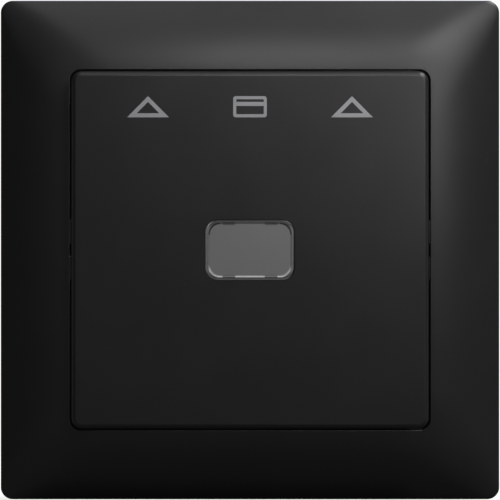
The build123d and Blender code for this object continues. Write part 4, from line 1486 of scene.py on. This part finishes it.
@dataclass(frozen=True)
class ThreadedScrew(Part):
    """Long slotted screw whose shank has a real thread round a thinner core."""

    radius: float = 1.5
    tolerance: float = 0.02
    core_radius: float = 1.2
    crest: float = 0.2
    crest_sides: int = 6
    pitch: float = 0.5
    steps: int = 20
    plain_end: float = 0.5

    def shape(self) -> Shape:
        """Copy the CAD screw and narrow its shank.

        Returns:
            The mesh under construction.
        """
        shape = merged_copy(self.node)
        level = Extent.of(self.node).middle_y * MM
        for corner in shape.verts:
            axis = Vector((0.0, corner.co.y, level))
            spoke = corner.co - axis
            if self.core_radius * MM < spoke.length < (self.radius + self.tolerance) * MM:
                corner.co = axis + spoke.normalized() * self.core_radius * MM
        return shape

    def build(self) -> Piece:
        """Replace the CAD screw by its core, and wind the thread round it.

        Returns:
            The core.
        """
        core = super().build()
        extent = Extent.of(self.node)
        length = -self.plain_end - extent.back
        values = {
            "Turns": length / self.pitch,
            "Steps Each Turn": self.steps,
            "Radius": (self.radius - self.crest) * MM,
            "Length": length * MM,
            "Bar Radius": self.crest * MM,
            "Bar Sides": self.crest_sides,
            "Place": at(0.0, extent.middle_y, extent.back + self.crest),
        }
        thread = grow(f"{self.node}_thread", helix_tree(), self.slot, values)
        register(thread, self.body, self.slot)
        return core


@dataclass(frozen=True)
class Claws(Assembly):
    """Two claws with their long screws and square nuts."""

    parts: tuple[Part, ...] = (
        ThreadedScrew("claw_screw_upper", Slot.ZINC_SCREW, 0.08, Body.CLAW_SCREW_UPPER),
        ThreadedScrew("claw_screw_lower", Slot.ZINC_SCREW, 0.08, Body.CLAW_SCREW_LOWER),
        Part("claw_nut_upper", Slot.CLAW_STEEL, 0.1, Body.CLAW_NUT_UPPER),
        Part("claw_nut_lower", Slot.CLAW_STEEL, 0.1, Body.CLAW_NUT_LOWER),
        Part("claw_upper", Slot.CLAW_STEEL, 0.1, Body.CLAW_UPPER),
        Part("claw_lower", Slot.CLAW_STEEL, 0.1, Body.CLAW_LOWER),
    )


@dataclass(frozen=True)
class Lamp:
    """Soft round light aimed at the switch's middle, which the camera doesn't see."""

    name: str
    place: tuple[float, float, float]
    size: float
    power: float
    reach: Reach = Reach.FRONT
    past_plate: bool = False
    shows_in_gloss: bool = True

    def build(self) -> None:
        """Add the light, and limit what it lights and what shades it."""
        light = bpy.data.lights.new(self.name, "AREA")
        light.shape = "DISK"
        light.size = self.size
        light.energy = self.power
        holder = bpy.data.objects.new(self.name, light)
        holder.location = self.place
        holder.rotation_euler = (-holder.location).to_track_quat("-Z", "Y").to_euler()
        holder.visible_camera = False
        holder.visible_glossy = self.shows_in_gloss
        if self.reach is not Reach.ALL:
            holder.light_linking.receiver_collection = reach_group(self.reach)
        if self.past_plate:
            holder.light_linking.blocker_collection = reach_group(Reach.PAST_PLATE)
        bpy.context.scene.collection.objects.link(holder)


def ray_kinds(tree: Tree) -> tuple[Output, Output, Output]:
    """Tell the rays of a material or a world apart.

    Args:
        tree: Its nodes.

    Returns:
        Whether a ray comes from the camera or through glass, from gloss, and from a dull surface.
    """
    path = add_node(tree, "ShaderNodeLightPath").outputs
    seen = Output(path["Is Camera Ray"]).most(Output(path["Is Transmission Ray"]))
    return seen, Output(path["Is Glossy Ray"]), Output(path["Is Diffuse Ray"])


def backward(tree: Tree, place: Output) -> Output:
    """Give how far a place lies behind the wall's face, or a direction points that way."""
    return read(tree, "ShaderNodeSeparateXYZ", 1, {0: place})


@dataclass(frozen=True)
class Studio:
    """Camera at the photo's straight view, lights, pale floor and white surroundings."""

    distance: float = 2.5
    view_width: float = 0.080745
    view_plane: float = 0.0056
    sensor: float = 36.0
    clip: Pair = (0.01, 50.0)
    ambient: float = 0.28
    front_gloss: float = 0.012
    room_depth: Pair = (0.35, 0.75)
    floor_level: float = -0.0405
    floor_size: float = 2.6
    floor_back: float = 0.6
    floor_paint: Colour = (0.16, 0.16, 0.158)
    floor_seen: Colour = (0.82, 0.82, 0.81)
    floor_roughness: float = 0.9
    floor_behind: Pair = (0.0, 0.05)
    glow: Colour = (1.0, 1.0, 0.997)
    floor_glow: float = 0.45
    floor_fade: Pair = (0.1, 0.9)
    lamps: tuple[Lamp, ...] = (
        Lamp("top_light", (0.295, -0.14, 0.5), 0.16, 5.8, past_plate=True),
        Lamp("upper_front_light", (0.003, -0.083, 0.062), 0.024, 0.0265),
        Lamp("left_top_light", (-0.035, -0.04, 0.125), 0.024, 0.0065),
        Lamp("left_upper_light", (-0.038, -0.07, 0.098), 0.024, 0.005),
        Lamp("side_front_light", (0.047, -0.08, 0.026), 0.024, 0.0168, past_plate=True),
        Lamp("corner_front_light", (0.051, -0.08, 0.067), 0.024, 0.042, past_plate=True),
        Lamp("floor_light", (0.25, -0.35, 0.8), 0.3, 4.4, Reach.FLOOR),
        Lamp("back_light", (-0.55, 0.7, 0.6), 1.2, 9.0, Reach.ALL, shows_in_gloss=False),
        Lamp("low_back_light", (0.6, 0.75, 0.45), 1.0, 5.0, Reach.ALL, shows_in_gloss=False),
    )

    def camera(self) -> None:
        """Set the camera square to the front, far enough that the picture is nearly parallel."""
        lens = bpy.data.cameras.new("camera")
        lens.sensor_width = self.sensor
        lens.lens = self.sensor * (self.distance - self.view_plane) / self.view_width
        lens.clip_start, lens.clip_end = self.clip
        holder = bpy.data.objects.new("camera", lens)
        holder.location = (0.0, -self.distance, 0.0)
        holder.rotation_euler = (math.pi / 2, 0.0, 0.0)
        bpy.context.scene.collection.objects.link(holder)
        bpy.context.scene.camera = holder

    def world(self) -> None:
        """Give the camera, glass and gloss a white backdrop, and the rest a weak even light.

        Gloss sees the white backdrop behind the object and a dim room on the camera's side.
        """
        made = bpy.data.worlds.new("studio")
        made.use_nodes = True
        made.cycles.sampling_method = "NONE"
        tree = made.node_tree
        seen, gloss, dull = ray_kinds(tree)
        direction = read(tree, "ShaderNodeTexCoord", "Generated")
        room = backward(tree, direction).ramp(*self.room_depth, self.front_gloss, 1.0)
        strength = seen.most(gloss * room).most(dull * self.ambient)
        fill(tree.nodes["Background"], {"Color": (1.0, 1.0, 1.0), "Strength": strength})
        bpy.context.scene.world = made

    def paint(self) -> Material:
        """Paint the floor pale for the camera and glass, fading to white far off, and dim for the rest.

        Returns:
            The material, which is clear from below so that the floor doesn't hide the object.
        """
        made = bpy.data.materials.new("floor_paint")
        made.use_nodes = True
        tree = made.node_tree
        shader = tree.nodes["Principled BSDF"]
        seen, gloss, _ = ray_kinds(tree)
        colour = seen.blend(self.floor_paint, self.floor_seen)
        fill(shader, {"Roughness": self.floor_roughness, "Base Color": colour})
        place = read(tree, "ShaderNodeTexCoord", "Object")
        seen = seen.most(gloss * backward(tree, place).ramp(*self.floor_behind))
        away = read(tree, "ShaderNodeVectorMath", "Value", {0: place}, operation="LENGTH")
        share = seen * away.ramp(*self.floor_fade, self.floor_glow, 1.0)
        glow = read(tree, "ShaderNodeEmission", 0, {"Color": self.glow})
        mixed = read(tree, "ShaderNodeMixShader", 0, {0: share, 1: Output(shader.outputs[0]), 2: glow})
        below = read(tree, "ShaderNodeNewGeometry", "Backfacing")
        clear = read(tree, "ShaderNodeBsdfTransparent", 0)
        whole = read(tree, "ShaderNodeMixShader", 0, {0: below, 1: mixed, 2: clear})
        fill(tree.nodes["Material Output"], {"Surface": whole})
        return made

    def floor(self) -> None:
        """Lay the floor under the object."""
        half = self.floor_size / 2
        level = self.floor_level
        back = self.floor_back
        front = back - self.floor_size
        corners = ((-half, front, level), (half, front, level), (half, back, level), (-half, back, level))
        mesh = bpy.data.meshes.new("floor")
        mesh.from_pydata(corners, (), ((0, 1, 2, 3),))
        mesh.materials.append(self.paint())
        floor = make_piece("floor", mesh)
        reach_group(Reach.FLOOR).objects.link(floor)

    def build(self) -> None:
        """Set up the studio."""
        bpy.context.scene.view_settings.view_transform = "Standard"
        self.camera()
        self.world()
        self.floor()
        for lamp in self.lamps:
            lamp.build()


def main() -> None:
    """Build the studio and every sub-assembly."""
    logging.basicConfig(level=logging.INFO, format="%(name)s: %(message)s")
    Studio().build()
    for assembly in (CoverFrame(), CentrePlate(), CardPocket(), SupportRing(), SwitchBody()):
        assembly.build()
    for assembly in (WireTerminals(), LampUnit(), Claws()):
        assembly.build()


if __name__ == "__main__":
    main()
